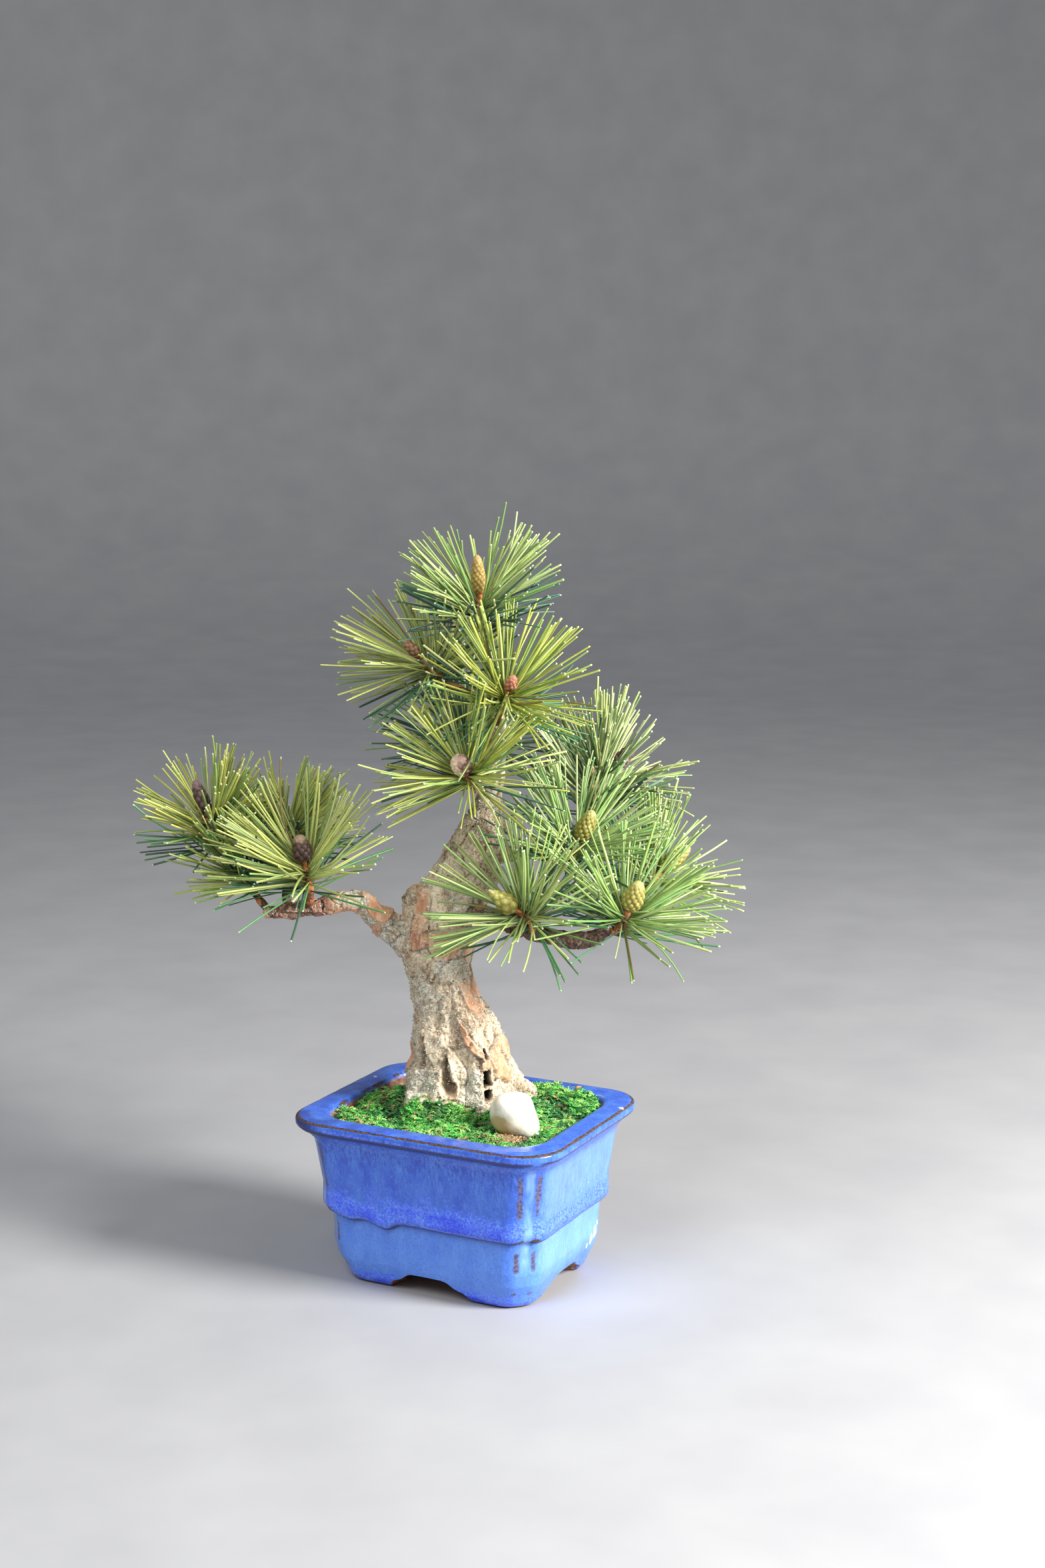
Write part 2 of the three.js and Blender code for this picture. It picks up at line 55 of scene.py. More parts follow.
POT_MIDDLE = np.array([pot_low[0] + pot_high[0], pot_low[1] + pot_high[1], 0.0]) / 2 * METRE

# ------------------------------------------------------------------ sizes shared with the CAD part

POT_HALF = np.array([65.0, 53.7])
FOOT_ZONE = 12.0
RECESS_HEIGHT = 10.0
FLOOR_TOP = 14.5
DRAIN_RADIUS = 6.0
LIP_INNER = (75.4, 12, 16, 0)
# height, inset from the rim's outer edge, corner leg, share of the faceted corner shape
POT_OUTSIDE = [
    (0, 21.6, 10.6, 1),
    (0.8, 19.9, 12.1, 1),
    (3, 17.9, 13.9, 1),
    (7, 16.4, 14.6, 1),
    (12, 14.4, 14.6, 1),
    (18, 13.3, 14.6, 1),
    (25, 13.3, 14.6, 1),
    (31.5, 12.7, 14.6, 1),
    (33.1, 12.7, 14.6, 1),
    (33, 11.4, 14.7, 1),
    (33.4, 10.4, 14.8, 1),
    (34.6, 9.9, 14.9, 1),
    (37, 9.7, 14.9, 1),
    (45, 9.8, 14.9, 1),
    (52, 8.8, 15.1, 1),
    (60, 7.6, 15.9, 0.9),
    (66, 6.3, 17.4, 0.6),
    (68.6, 4.6, 18.1, 0.3),
    (70.4, 3.2, 18.5, 0.1),
    (71.3, 1.7, 18.9, 0),
    (72.1, 0.7, 19.3, 0),
    (73.3, 0.1, 19.5, 0),
    (75.2, 0, 19.5, 0),
    (76.2, 0.5, 19.2, 0),
    (76.7, 1.7, 18.6, 0),
    (76.9, 5, 17.5, 0),
    (76.8, 9.6, 16.9, 0),
    (76.4, 11.4, 16.4, 0),
    LIP_INNER,
]
POT_INSIDE = [
    LIP_INNER,
    (66, 13.6, 15, 0),
    (50, 15.4, 14, 0),
    (30, 17, 13, 0),
    (18, 19, 12, 0),
    (FLOOR_TOP, 23, 10, 0),
]
# Where two runs of glaze hang below the ledge of the front side, along x.
RUN_LARGE, RUN_SMALL = -14.2, -30.0
# White chips in the glaze: x, y, z, reach across, reach up.
CHIPS = [
    (51.7, 25.0, 18.5, 1.9, 3.0),
    (51.5, 22.0, 15.6, 1.5, 2.2),
    (51.2, 18.5, 13.4, 1.0, 1.6),
    (51.2, 27.5, 21.5, 0.8, 1.6),
    (-60, 46, 76.6, 1.4, 1),
    (-59, 20, 76.8, 1.2, 1),
    (63, 28, 76.6, 1.1, 1),
    (-54.5, -41, 53, 0.8, 1.6),
    (55, 10, 47, 0.5, 0.6),
]

# height, u, v, half width, half depth
TRUNK = [
    (66, 0, -8, 17, 15),
    (74, 0, -8, 25, 20),
    (80, -2, -8, 25.5, 20),
    (87, -2, -8, 23.5, 18.5),
    (95, -2, -7, 22, 17),
    (106, -3.5, -6, 20.5, 16),
    (118, -5.5, -5, 17.6, 14.5),
    (127, -9.3, -4, 14.6, 13),
    (136, -12, -4, 13.8, 12.5),
    (146, -13, -4, 15, 13),
    (156, -12, -4, 15.8, 13.5),
    (166, -10.5, -4, 17.3, 14),
    (173, -8, -4, 18.2, 14),
    (179, -2, -4, 16.5, 13),
    (186, 2, -4, 13.6, 12),
    (194, 4.8, -4, 11.6, 10.5),
    (201, 6.5, -4, 10, 9),
    (208, 8.2, -4, 7.4, 7),
    (215, 9.8, -4, 5.4, 5.4),
    (230, 13, -4, 4.4, 4.4),
    (245, 14, -4, 3.8, 3.8),
    (260, 13, -4, 3.3, 3.3),
    (274, 10.6, -3, 2.9, 2.9),
    (288, 8.8, -2, 2.3, 2.3),
]
TRUNK_FOOT, TRUNK_TOP = TRUNK[0][0], TRUNK[-1][0]
# u, v, z, radius
BRANCHES = {
    "left": [
        (-20, -5, 146, 7),
        (-29, -5, 154, 6.8),
        (-40, -4, 161.5, 5.2),
        (-47, -2, 169.5, 4.4),
        (-54, 0, 170.5, 3.5),
        (-63, 2, 167.5, 3.1),
        (-76, 3, 166.5, 3.2),
        (-88, 2, 165.5, 1.9),
    ],
    "right": [
        (-2, 2, 168, 3),
        (10, 12, 166, 3.2),
        (20, 22, 164, 3.2),
        (30, 29, 162.5, 3.2),
        (39, 31.5, 161, 3.4),
        (48, 34, 160, 3.3),
        (55, 36, 162, 2.9),
        (61, 37.5, 165.5, 2.2),
    ],
    "back": [
        (4, -4, 186, 3.2),
        (17, -4, 189.5, 3),
        (28, -5, 191, 2.8),
        (40, -9, 189, 2.6),
        (52, -13, 184, 2.4),
        (64, -16, 176, 2.2),
        (73, -18, 170.5, 1.9),
    ],
}


class Sprig(NamedTuple):
    """A twig with its tuft of needles, and mostly a bud."""

    at: tuple  # where the needles spring from
    aim: tuple
    root: tuple | None  # where the twig leaves the wood
    spread: float  # angle from the aim to the outer needles, in degrees
    bud: tuple | None  # length, diameter, kind
    upper: tuple  # colour of the upper needles
    lower: tuple  # colour of the lower needles
    fall: float  # lowest upward part of a needle's heading
    lean: tuple = (0, 0.1, 0.5)  # where the needles mostly point
    density: float = 1
    length: float = 1
    opening: float = 20  # angle from the aim to the innermost needles, in degrees


SPRIGS = {
    "apex": Sprig(
        (6.5, -1, 300), (-0.05, 0.05, 1), (9, -2, 287), 80, (17, 6.4, "slim"),
        (170, 192, 112), (70, 112, 88), -0.15, length=0.95, opening=34),
    "upper_left": Sprig(
        (-16.5, -5, 274), (-0.66, 0.1, 0.72), (12.5, -4, 256), 95, (10, 4.6, "tan"),
        (202, 210, 118), (94, 142, 96), -0.35, lean=(-0.45, 0, 0.35)),
    "upper_front": Sprig(
        (18, 18, 263), (0.25, 0.6, 0.75), (13.8, -3, 248), 95, (8, 5, "red"),
        (186, 196, 88), (74, 124, 80), -0.28, lean=(0, 0, 0.6)),
    "middle_front": Sprig(
        (1.7, 30, 230.5), (-0.25, 0.7, 0.6), (12, -2, 225), 115, (10, 8.6, "cork"),
        (176, 184, 82), (80, 120, 76), -0.32, lean=(-0.35, 0, 0.4)),
    "middle_back": Sprig(
        (-1, -40, 236), (-0.1, -0.95, 0.3), (12.5, -6, 227), 100, None,
        (150, 170, 96), (76, 116, 84), -0.5),
    "right_back": Sprig(
        (56, -24, 213), (0, -0.05, 1), (41, -9.5, 188.5), 75, (9, 4.2, "tan"),
        (192, 204, 150), (88, 132, 100), -0.05, density=0.75),
    "right_outer": Sprig(
        (63, -39, 219), (0.62, -0.35, 0.66), (54, -13.5, 182.5), 85, (15, 6.6, "mauve"),
        (180, 196, 120), (98, 142, 96), -0.1, density=0.8),
    "right_middle": Sprig(
        (48, 6, 195), (0.35, 0.3, 0.85), (29, -5, 191), 85, (15, 8, "yellow"),
        (170, 202, 124), (86, 142, 92), -0.4),
    "right_far": Sprig(
        (83.5, -19, 176), (0.72, -0.2, 0.62), (71.5, -17.7, 171.5), 95, (17, 7.4, "yellow"),
        (172, 196, 110), (84, 144, 92), -0.36),
    "right_front": Sprig(
        (68.5, 38, 171.5), (0.28, 0.4, 0.85), (58, 36.7, 163.7), 115, (14.5, 9.2, "yellow"),
        (150, 180, 96), (76, 136, 86), -0.4, lean=(0.3, 0, 0.35)),
    "centre_front": Sprig(
        (24.5, 37, 172.3), (-0.66, 0.42, 0.6), (30, 29, 162.5), 115, (16, 8.6, "flame"),
        (176, 194, 114), (88, 144, 92), -0.34, lean=(-0.45, 0, 0.3)),
    "left_front": Sprig(
        (-68.5, 17, 187.5), (-0.12, 0.32, 0.9), (-68, 2.5, 167), 100, (12.5, 8.2, "dark"),
        (206, 216, 122), (92, 150, 86), 0.0, lean=(-0.55, 0.15, 0.25), density=1.3, length=1.04),
    "left_outer": Sprig(
        (-112, -5, 202.5), (-0.28, 0.1, 0.95), (-86, 2.1, 165.7), 90, (17, 6.5, "mauve"),
        (196, 200, 98), (88, 144, 84), 0.04, lean=(-0.2, 0.1, 0.5), density=1.15, length=0.84),
    "left_back": Sprig(
        (-81, -28, 193), (0.1, -0.4, 0.9), (-78, 2.8, 166.2), 85, None,
        (226, 232, 128), (104, 150, 92), -0.04, density=1.1, length=0.86),
}
# Loose needles under the outer left tuft, without a twig.
LEFT_LOW = Sprig(
    (-98, 1, 180), (-0.82, 0.2, 0.42), None, 72, None,
    (176, 192, 92), (70, 132, 84), -0.02, density=0.5, length=0.85)
KNOT = 4.8  # from the middle of a tuft to where its bud starts

# ------------------------------------------------------------------ numbers


def srgb(*levels):
    """A colour given as levels from 0 to 255, as linear light."""
    share = np.asarray(levels, float) / 255
    return np.where(share <= 0.04045, share / 12.92, ((share + 0.055) / 1.055) ** 2.4)


def blend(first, second, share):
    """Colours on the way from first to second, one for each share."""
    return first + (second - first) * share[:, None]


def place(points):
    """Tree coordinates (u, v, z) to the pot's axes."""
    points = np.asarray(points, float)
    u, v, z = points[..., 0], points[..., 1], points[..., 2]
    c, s = math.cos(TURN), math.sin(TURN)
    return np.stack([u * c + v * s, u * s - v * c, z], -1)


def tree_uv(x, y):
    """Places on the pot's axes as u and v of the tree."""
    c, s = math.cos(TURN), math.sin(TURN)
    return x * c + y * s, x * s - y * c


def unit(vectors):
    vectors = np.asarray(vectors, float)
    return vectors / np.maximum(np.linalg.norm(vectors, axis=-1, keepdims=True), 1e-12)


def full_turn(count):
    return np.arange(count) / count * 2 * math.pi


def nearest_turn(angle):
    """The same angle, from minus half a turn to half a turn."""
    return np.angle(np.exp(1j * angle))


def ease(value, low, high):
    """Smooth step from 0 at low to 1 at high."""
    t = np.clip((value - low) / (high - low), 0, 1)
    return t * t * (3 - 2 * t)


def span(value, low, full, full_end, high):
    """1 from full to full_end, easing to 0 at low and high."""
    return ease(value, low, full) * (1 - ease(value, full_end, high))


def bell(value, middle, width):
    return np.exp(-(((value - middle) / width) ** 2))


def scatter(cell, seed):
    """A repeatable number from 0 to 1 for each triple of whole numbers."""
    c = cell.astype(np.int64).astype(np.uint64)
    n = c[..., 0] * np.uint64(73856093) ^ c[..., 1] * np.uint64(19349663)
    n = n ^ c[..., 2] * np.uint64(83492791) ^ np.uint64(seed * 2246822519 + 97)
    n = n & np.uint64(0xFFFFFFFF)
    for factor in (2654435761, 3266489917):
        n = ((n ^ (n >> np.uint64(15))) * np.uint64(factor)) & np.uint64(0xFFFFFFFF)
    return ((n >> np.uint64(8)) & np.uint64(0xFFFFF)).astype(float) / 0xFFFFF


def noise(points, size, seed=0):
    """Smooth noise from -1 to 1 with lumps of the given size, which may be one number or three."""
    q = np.asarray(points, float) / size
    whole = np.floor(q)
    part = q - whole
    part = part * part * (3 - 2 * part)
    total = 0.0
    for corner in np.ndindex(2, 2, 2):
        weight = np.prod(np.where(np.array(corner) == 1, part, 1 - part), axis=-1)
        total = total + weight * scatter(whole + corner, seed)
    return 2 * total - 1


def rough(points, size, seed=0, octaves=4, fade=0.5):
    size = np.asarray(size, float)
    return sum(fade**k * noise(points, size / 2**k, seed + 31 * k) for k in range(octaves))


def cells(points, size, seed=0):
    """Distance to the nearest and second nearest of a jittered grid of seeds, in cells, and the
    nearest one's own number from 0 to 1."""
    q = np.asarray(points, float) / size
    whole = np.floor(q)
    first = np.full(q.shape[:-1], 9.0)
    second = first.copy()
    own = np.zeros(q.shape[:-1])
    for step in np.ndindex(3, 3, 3):
        cell = whole + np.array(step) - 1
        jitter = np.stack([scatter(cell, seed + k) for k in (1, 2, 3)], -1)
        far = np.linalg.norm(cell + jitter - q, axis=-1)
        nearer = far < first
        second = np.where(nearer, first, np.minimum(second, far))
        own = np.where(nearer, scatter(cell, seed + 4), own)
        first = np.where(nearer, far, first)
    return first, second, own


def inside(points, outline):
    """Distance from the edge of a flat outline, positive inside it."""
    outline = np.asarray(outline, float)
    far = np.full(len(points), 1e9)
    within = np.zeros(len(points), bool)
    for a, b in zip(outline, np.roll(outline, -1, 0)):
        run = b - a
        t = np.clip(((points - a) @ run) / (run @ run), 0, 1)
        far = np.minimum(far, np.linalg.norm(points - a - t[:, None] * run, axis=1))
        crosses = (a[1] > points[:, 1]) != (b[1] > points[:, 1])
        rise = b[1] - a[1] if b[1] != a[1] else 1e-9
        within ^= crosses & (points[:, 0] < a[0] + (points[:, 1] - a[1]) / rise * run[0])
    return np.where(within, far, -far)


def resample(rows, places, step, soften):
    """Rows of numbers along a path made even, step apart, and softened over the given length.
    places says which columns are coordinates."""
    rows = np.asarray(rows, float)
    reach = np.r_[0, np.cumsum(np.linalg.norm(np.diff(rows[:, places], axis=0), axis=1))]
    count = max(2, int(round(reach[-1] / step)) + 1)
    even = np.linspace(0, reach[-1], count)
    fine = np.stack([np.interp(even, reach, column) for column in rows.T], -1)
    gap = reach[-1] / (count - 1)
    half = max(1, int(3 * soften / gap))
    kernel = np.exp(-((np.arange(-half, half + 1) * gap / soften) ** 2) / 2)
    kernel /= kernel.sum()
    head = 2 * fine[0] - fine[1 : half + 1][::-1]
    tail = 2 * fine[-1] - fine[-half - 1 : -1][::-1]
    padded = np.concatenate([head, fine, tail])
    return np.stack([np.convolve(column, kernel, "valid") for column in padded.T], -1)


# ------------------------------------------------------------------ meshes


def grid_faces(rows, columns, wrap_rows=False):
    """Squares between rings of points, each ring closed."""
    r = np.arange(rows if wrap_rows else rows - 1)[:, None]
    c = np.arange(columns)[None]
    over, along = (r + 1) % rows, (c + 1) % columns
    corners = [r * columns + c, r * columns + along, over * columns + along, over * columns + c]
    return np.stack(corners, -1).reshape(-1, 4)


def skin(rows, columns):
    """Faces of a closed shape: a grid, and fans from its end rings to two extra points after it."""
    k = np.arange(columns)
    after = (k + 1) % columns
    last = (rows - 1) * columns
    start = np.full(columns, rows * columns)
    first_fan, last_fan = np.stack([start, after, k], -1), np.stack([start + 1, last + k, last + after], -1)
    return [grid_faces(rows, columns), np.concatenate([first_fan, last_fan])]


def enclosed(points, faces):
    """Six times the volume inside the faces, negative where they look inward."""
    total = 0.0
    for kind in faces:
        for k in range(1, kind.shape[1] - 1):
            a, b, c = points[kind[:, 0]], points[kind[:, k]], points[kind[:, k + 1]]
            total += np.einsum("ij,ij->", a, np.cross(b, c))
    return total


def make(name, points, faces, paint, slot, nodes=(), smooth=True, **attributes):
    """One piece of the tree from points in the pot's axes and arrays of faces."""
    points = (np.asarray(points, float) + POT_MIDDLE) / METRE
    if enclosed(points - points.mean(0), faces) < 0:
        faces = [kind[:, ::-1] for kind in faces]
    corners = np.concatenate([kind.ravel() for kind in faces])
    sizes = np.concatenate([np.full(len(kind), kind.shape[1]) for kind in faces])
    starts = np.r_[0, np.cumsum(sizes)[:-1]]
    mesh = bpy.data.meshes.new(name)
    mesh.vertices.add(len(points))
    mesh.vertices.foreach_set("co", points.astype(np.float32).ravel())
    mesh.loops.add(len(corners))
    mesh.loops.foreach_set("vertex_index", corners.astype(np.int32))
    mesh.polygons.add(len(sizes))
    mesh.polygons.foreach_set("loop_start", starts.astype(np.int32))
    mesh.update(calc_edges=True)
    mesh.validate()
    mesh.polygons.foreach_set("use_smooth", np.full(len(mesh.polygons), smooth))
    for key, value in attributes.items():
        value = np.asarray(value, np.float32)
        if value.ndim == 1:
            mesh.attributes.new(key, "FLOAT", "POINT").data.foreach_set("value", value)
        else:
            colour = np.c_[value, np.ones(len(value), np.float32)]
            mesh.attributes.new(key, "FLOAT_COLOR", "POINT").data.foreach_set("color", colour.ravel())
    mesh.materials.append(paint)
    piece = bpy.data.objects.new(name, mesh)
    bpy.context.scene.collection.objects.link(piece)
    if slot:
        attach(piece, "root")
        if nodes:
            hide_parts(*nodes)
    return piece


def tubes(paths, wide, thick, side, sides, dome=0.0):
    """Closed rods along many paths of equal step count, wide and thick across. Returns the points,
    the faces and how many points each rod has."""
    count, steps = paths.shape[:2]
    tangent = unit(np.gradient(paths, axis=1))
    side = side[:, None] - (side[:, None] * tangent).sum(-1, keepdims=True) * tangent
    side = unit(side)
    over = np.cross(tangent, side)
    angle = full_turn(sides)
    across = (wide[..., None] * np.cos(angle))[..., None] * side[:, :, None]
    up = (thick[..., None] * np.sin(angle))[..., None] * over[:, :, None]
    ring = paths[:, :, None] + across + up
    ends = np.stack([paths[:, 0] - dome * tangent[:, 0], paths[:, -1] + dome * tangent[:, -1]], 1)
    points = np.concatenate([ring.reshape(count, -1, 3), ends], 1)
    per = points.shape[1]
    shift = (np.arange(count) * per)[:, None, None]
    faces = [(kind + shift).reshape(-1, kind.shape[1]) for kind in skin(steps, sides)]
    return points.reshape(-1, 3), faces, per


def join(parts):
    """Several (points, faces) as one."""
    points, faces, start = [], {}, 0
    for part_points, part_faces in parts:
        points.append(part_points)
        for kind in part_faces:
            faces.setdefault(kind.shape[1], []).append(kind + start)
        start += len(part_points)
    return np.concatenate(points), [np.concatenate(kinds) for kinds in faces.values()]

# ------------------------------------------------------------------ materials


class Paint:
    """A material built up from nodes. Sizes are in millimetres."""

    def __init__(self, name, **uniform):
        self.material = bpy.data.materials.new(name)
        self.material.use_nodes = True
        self.tree = self.material.node_tree
        self.shader = self.tree.nodes["Principled BSDF"]
        self.where = self.node("TexCoord").outputs["Object"]
        for key, value in uniform.items():
            self.shader.inputs[key.replace("_", " ")].default_value = value

    def feed(self, socket, value):
        if isinstance(value, bpy.types.NodeSocket):
            self.tree.links.new(value, socket)
        elif socket.type == "RGBA":
            socket.default_value = (*value, 1)
        else:
            socket.default_value = value

    def node(self, kind, look=None, **inputs):
        made = self.tree.nodes.new("ShaderNode" + kind)
        for key, value in (look or {}).items():
            setattr(made, key, value)
        for key, value in inputs.items():
            self.feed(made.inputs[key.replace("_", " ")], value)
        return made

    def noise(self, size, detail=3, stretch=(1, 1, 1), roughness=0.5):
        scale = tuple(METRE / size / s for s in stretch)
        where = self.node("Mapping", Vector=self.where, Scale=scale).outputs[0]
        return self.node("TexNoise", Vector=where, Scale=1.0, Detail=detail, Roughness=roughness).outputs[0]

    def read(self, name):
        """A number, or with a capital C in the name a colour, that the mesh carries."""
        made = self.node("Attribute", {"attribute_name": name})
        return made.outputs["Color" if name.endswith("Colour") else "Fac"]

    def band(self, value, low, high, start=0.0, end=1.0):
        made = self.node("MapRange", Value=value, From_Min=low, From_Max=high, To_Min=start, To_Max=end)
        return made.outputs[0]

    def reckon(self, operation, first, second):
        made = self.node("Math", {"operation": operation})
        self.feed(made.inputs[0], first)
        self.feed(made.inputs[1], second)
        return made.outputs[0]

    def times(self, first, second):
        return self.reckon("MULTIPLY", first, second)

    def plus(self, first, second):
        return self.reckon("ADD", first, second)

    def ragged(self, mask, grain, amount):
        """A mask that the mesh carries, its edge broken up by noise."""
        return self.plus(self.read(mask), self.times(self.plus(grain, -0.5), amount))

    def mix(self, factor, first, second):
        made = self.node("Mix", {"data_type": "RGBA", "blend_type": "MIX", "clamp_factor": True})
        self.feed(made.inputs[0], factor)
        self.feed(made.inputs[6], first)
        self.feed(made.inputs[7], second)
        return made.outputs[2]

    def patches(self, value, low, high, first, second):
        """One colour where the value is low, the other where it is high."""
        return self.mix(self.band(value, low, high), first, second)

    def over(self, colour, *layers):
        """Layers of (mask, colour), each laid over the ones before."""
        for mask, other in layers:
            colour = self.mix(mask, colour, other)
        return colour

    def done(self, colour, roughness=None, height=None, depth=0.2):
        self.feed(self.shader.inputs["Base Color"], colour)
        if roughness is not None:
            self.feed(self.shader.inputs["Roughness"], roughness)
        if height is not None:
            bump = self.node("Bump", Height=height, Distance=depth / METRE, Strength=1.0)
            self.feed(self.shader.inputs["Normal"], bump.outputs[0])
        return self.material


def glaze_paint():
    p = Paint("glaze", Roughness=0.16)
    cloud, streak, grain = p.noise(8, 3, (1, 1, 2.4)), p.noise(0.9, 3, (1, 1, 7)), p.noise(0.9)
    mottle = p.noise(0.8)
    deep = p.patches(mottle, 0.36, 0.66, srgb(60, 96, 255), srgb(116, 160, 255))
    deepest = p.patches(mottle, 0.4, 0.7, srgb(46, 70, 242), srgb(76, 112, 255))
    deep = p.mix(p.band(p.read("pool_and_shade"), 0.78, 1.0), deep, deepest)
    brown = p.band(p.ragged("brown", p.noise(1.2), 0.8), 0.4, 0.62)
    clay = p.patches(p.noise(2.4, 4), 0.35, 0.65, srgb(112, 78, 62), srgb(172, 122, 94))
    salt = p.band(p.noise(3.2, 4), 0.56, 0.66, 0, 0.75)
    colour = p.over(
        p.patches(cloud, 0.35, 0.65, srgb(56, 98, 216), srgb(78, 128, 230)),
        (p.read("low"), p.patches(cloud, 0.35, 0.65, srgb(84, 134, 236), srgb(100, 152, 244))),
        (p.times(p.band(streak, 0.5, 0.66), p.band(p.read("streaky"), 0, 1, 0.12, 0.9)), srgb(32, 58, 176)),
        (p.band(streak, 0.44, 0.3, 0, 0.25), srgb(118, 166, 244)),
        (p.band(grain, 0.52, 0.7, 0, 0.35), srgb(38, 66, 188)),
        (p.band(grain, 0.42, 0.3, 0, 0.18), srgb(134, 178, 248)),
        # Thin glaze over the corner facets, and painted sheen on the lit right end face.
        (p.band(p.ragged("thin", streak, 1.0), 0.1, 1.1, 0, 0.75), srgb(158, 204, 250)),
        # Deep blue where glaze pools, and painted shade on the lip's outer face.
        (p.band(p.ragged("pool_and_shade", p.noise(2.6), 1.4), 0.25, 0.68), deep),
        # Painted shade under the ledge and the lip, in dark navy.
        (p.band(p.read("shade"), 0.15, 0.9, 0, 0.9), srgb(26, 28, 84)),
        (
            p.band(p.ragged("dash", p.noise(1.6, 4), 1.2), 0.25, 0.85, 0, 0.9),
            p.patches(p.noise(1.1), 0.4, 0.6, srgb(62, 56, 74), srgb(112, 100, 112)),
        ),
        (brown, p.patches(mottle, 0.4, 0.6, srgb(50, 42, 46), srgb(100, 78, 72))),
        (p.read("chip"), srgb(232, 228, 220)),
        (p.read("clay"), p.mix(salt, clay, srgb(206, 194, 180))),
    )
    roughness = p.band(p.plus(p.times(brown, 0.5), p.read("clay")), 0, 1, 0.16, 0.85)
    height = p.plus(p.plus(p.noise(5, 2), p.times(grain, 0.25)), p.times(brown, -0.3))
    return p.done(colour, roughness, height, 0.22)


def bark_paint(name, dark, tan, plate_a, plate_b, fibre):
    p = Paint(name, Roughness=0.85)
    fine = p.noise(1.2, 5, (1, 1, 1.6), 0.65)
    broad = p.noise(7, 3, (1, 1, 1.8))
    wisps = p.noise(0.8, 3, (1, 1, 1.4), 0.7)
    plate = p.patches(p.noise(4, 4, (1, 1, 2)), 0.35, 0.65, plate_a, plate_b)
    bruise = p.patches(fine, 0.38, 0.62, srgb(84, 48, 42), srgb(176, 124, 104))
    crust = p.plus(p.noise(2.2, 5, (1, 1, 1.3), 0.65), p.times(p.read("pale"), 0.28))
    crust = p.times(p.band(crust, 0.58, 0.72), p.band(wisps, 0.36, 0.5, 0.25, 0.95))
    colour = p.over(
        p.patches(p.plus(p.times(fine, 0.7), p.times(broad, 0.5)), 0.45, 0.7, dark, tan),
        (
            p.band(p.ragged("plate", p.noise(3.2, 4), 1.1), 0.35, 0.8, 0, 0.9),
            p.mix(p.band(fine, 0.42, 0.3, 0, 0.3), plate, dark),
        ),
        (p.times(p.read("mauve"), 0.85), bruise),
        (p.band(wisps, 0.56, 0.7, 0, 0.5), fibre),
        (crust, p.patches(p.noise(1.1, 2), 0.35, 0.65, 0.4 * fibre, fibre)),
        # Dark cracks, with painted shade under curled plate edges and inside recesses.
        (p.read("crack_and_shade"), srgb(70, 48, 34)),
        # Painted shadow inside the holes.
        (p.read("hole_shadow"), srgb(8, 7, 7)),
    )
    return p.done(colour, None, p.plus(p.times(fine, 0.8), p.times(wisps, 0.3)), 0.5)


def carried_paint(name, grain_size, spread, depth, tip=None, **uniform):
    """A material whose colour the mesh carries, broken up by grain."""
    p = Paint(name, **uniform)
    grain = p.noise(grain_size, 4, roughness=0.6)
    colour = p.over(
        p.read("ownColour"),
        (p.band(grain, 0.3, 0.7, 0, spread), srgb(28, 26, 14)),
        (p.band(grain, 0.5, 0.8, 0, 0.25 * spread), srgb(240, 240, 220)),
    )
    if tip is not None:
        colour = p.mix(p.read("tip"), colour, tip)
    return p.done(colour, None, grain, depth)


def stone_paint(name, light, stain):
    p = Paint(name, Roughness=0.38)
    colour = p.over(
        p.patches(p.noise(6, 4), 0.4, 0.7, light, 0.82 * light),
        (p.band(p.ragged("stain", p.noise(2.2, 4), 1.2), 0.3, 1.2, 0, 0.9), stain),
    )
    return p.done(colour, None, p.noise(1.6, 4), 0.12)


def soil_paint():
    p = Paint("soil", Roughness=0.95)
    lumps = p.noise(2.5, 5)
    colour = p.patches(lumps, 0.35, 0.65, srgb(52, 38, 28), srgb(120, 92, 66))
    return p.done(colour, None, lumps, 0.8)


# The wood's dark and tan, the two colours of its plates, and its pale fibre.
BARK_COLOURS = {
    "bark": [(136, 106, 76), (250, 230, 198), (198, 132, 94), (238, 182, 140), (250, 248, 234)],
    "bark_dark": [(46, 32, 27), (112, 84, 68), (150, 98, 66), (178, 126, 88), (190, 178, 156)],
    "twig": [(64, 42, 30), (140, 98, 66), (186, 98, 48), (214, 138, 80), (190, 170, 142)],
}

GLAZE = glaze_paint()
BARK, BARK_DARK, TWIG = (
    bark_paint(name, *(srgb(*levels) for levels in colours)) for name, colours in BARK_COLOURS.items()
)
FLAKE = carried_paint("flake", 0.7, 0.25, 0.05, Roughness=0.8)
NEEDLE = carried_paint("needle", 0.7, 0.2, 0.04, srgb(216, 220, 186), Roughness=0.42)
BUD = carried_paint("bud", 0.6, 0.35, 0.12, Roughness=0.45)
MOSS = carried_paint("moss", 0.8, 0.3, 0.1, Roughness=0.7)
CRUMB = carried_paint("crumb", 0.9, 0.4, 0.15, Roughness=0.95)
STONE = stone_paint("white_stone", srgb(248, 242, 226), srgb(188, 160, 104))
PEBBLE = stone_paint("tan_pebble", srgb(198, 156, 116), srgb(150, 104, 68))
SOIL = soil_paint()

# ------------------------------------------------------------------ pot

LONG_SAMPLES, SHORT_SAMPLES, CORNER_SAMPLES = 110, 90, 46
LEDGE = (18, 32.5, 33.6, 46)  # heights between which the wall follows the runs of glaze
LIP_TOP = 75.5


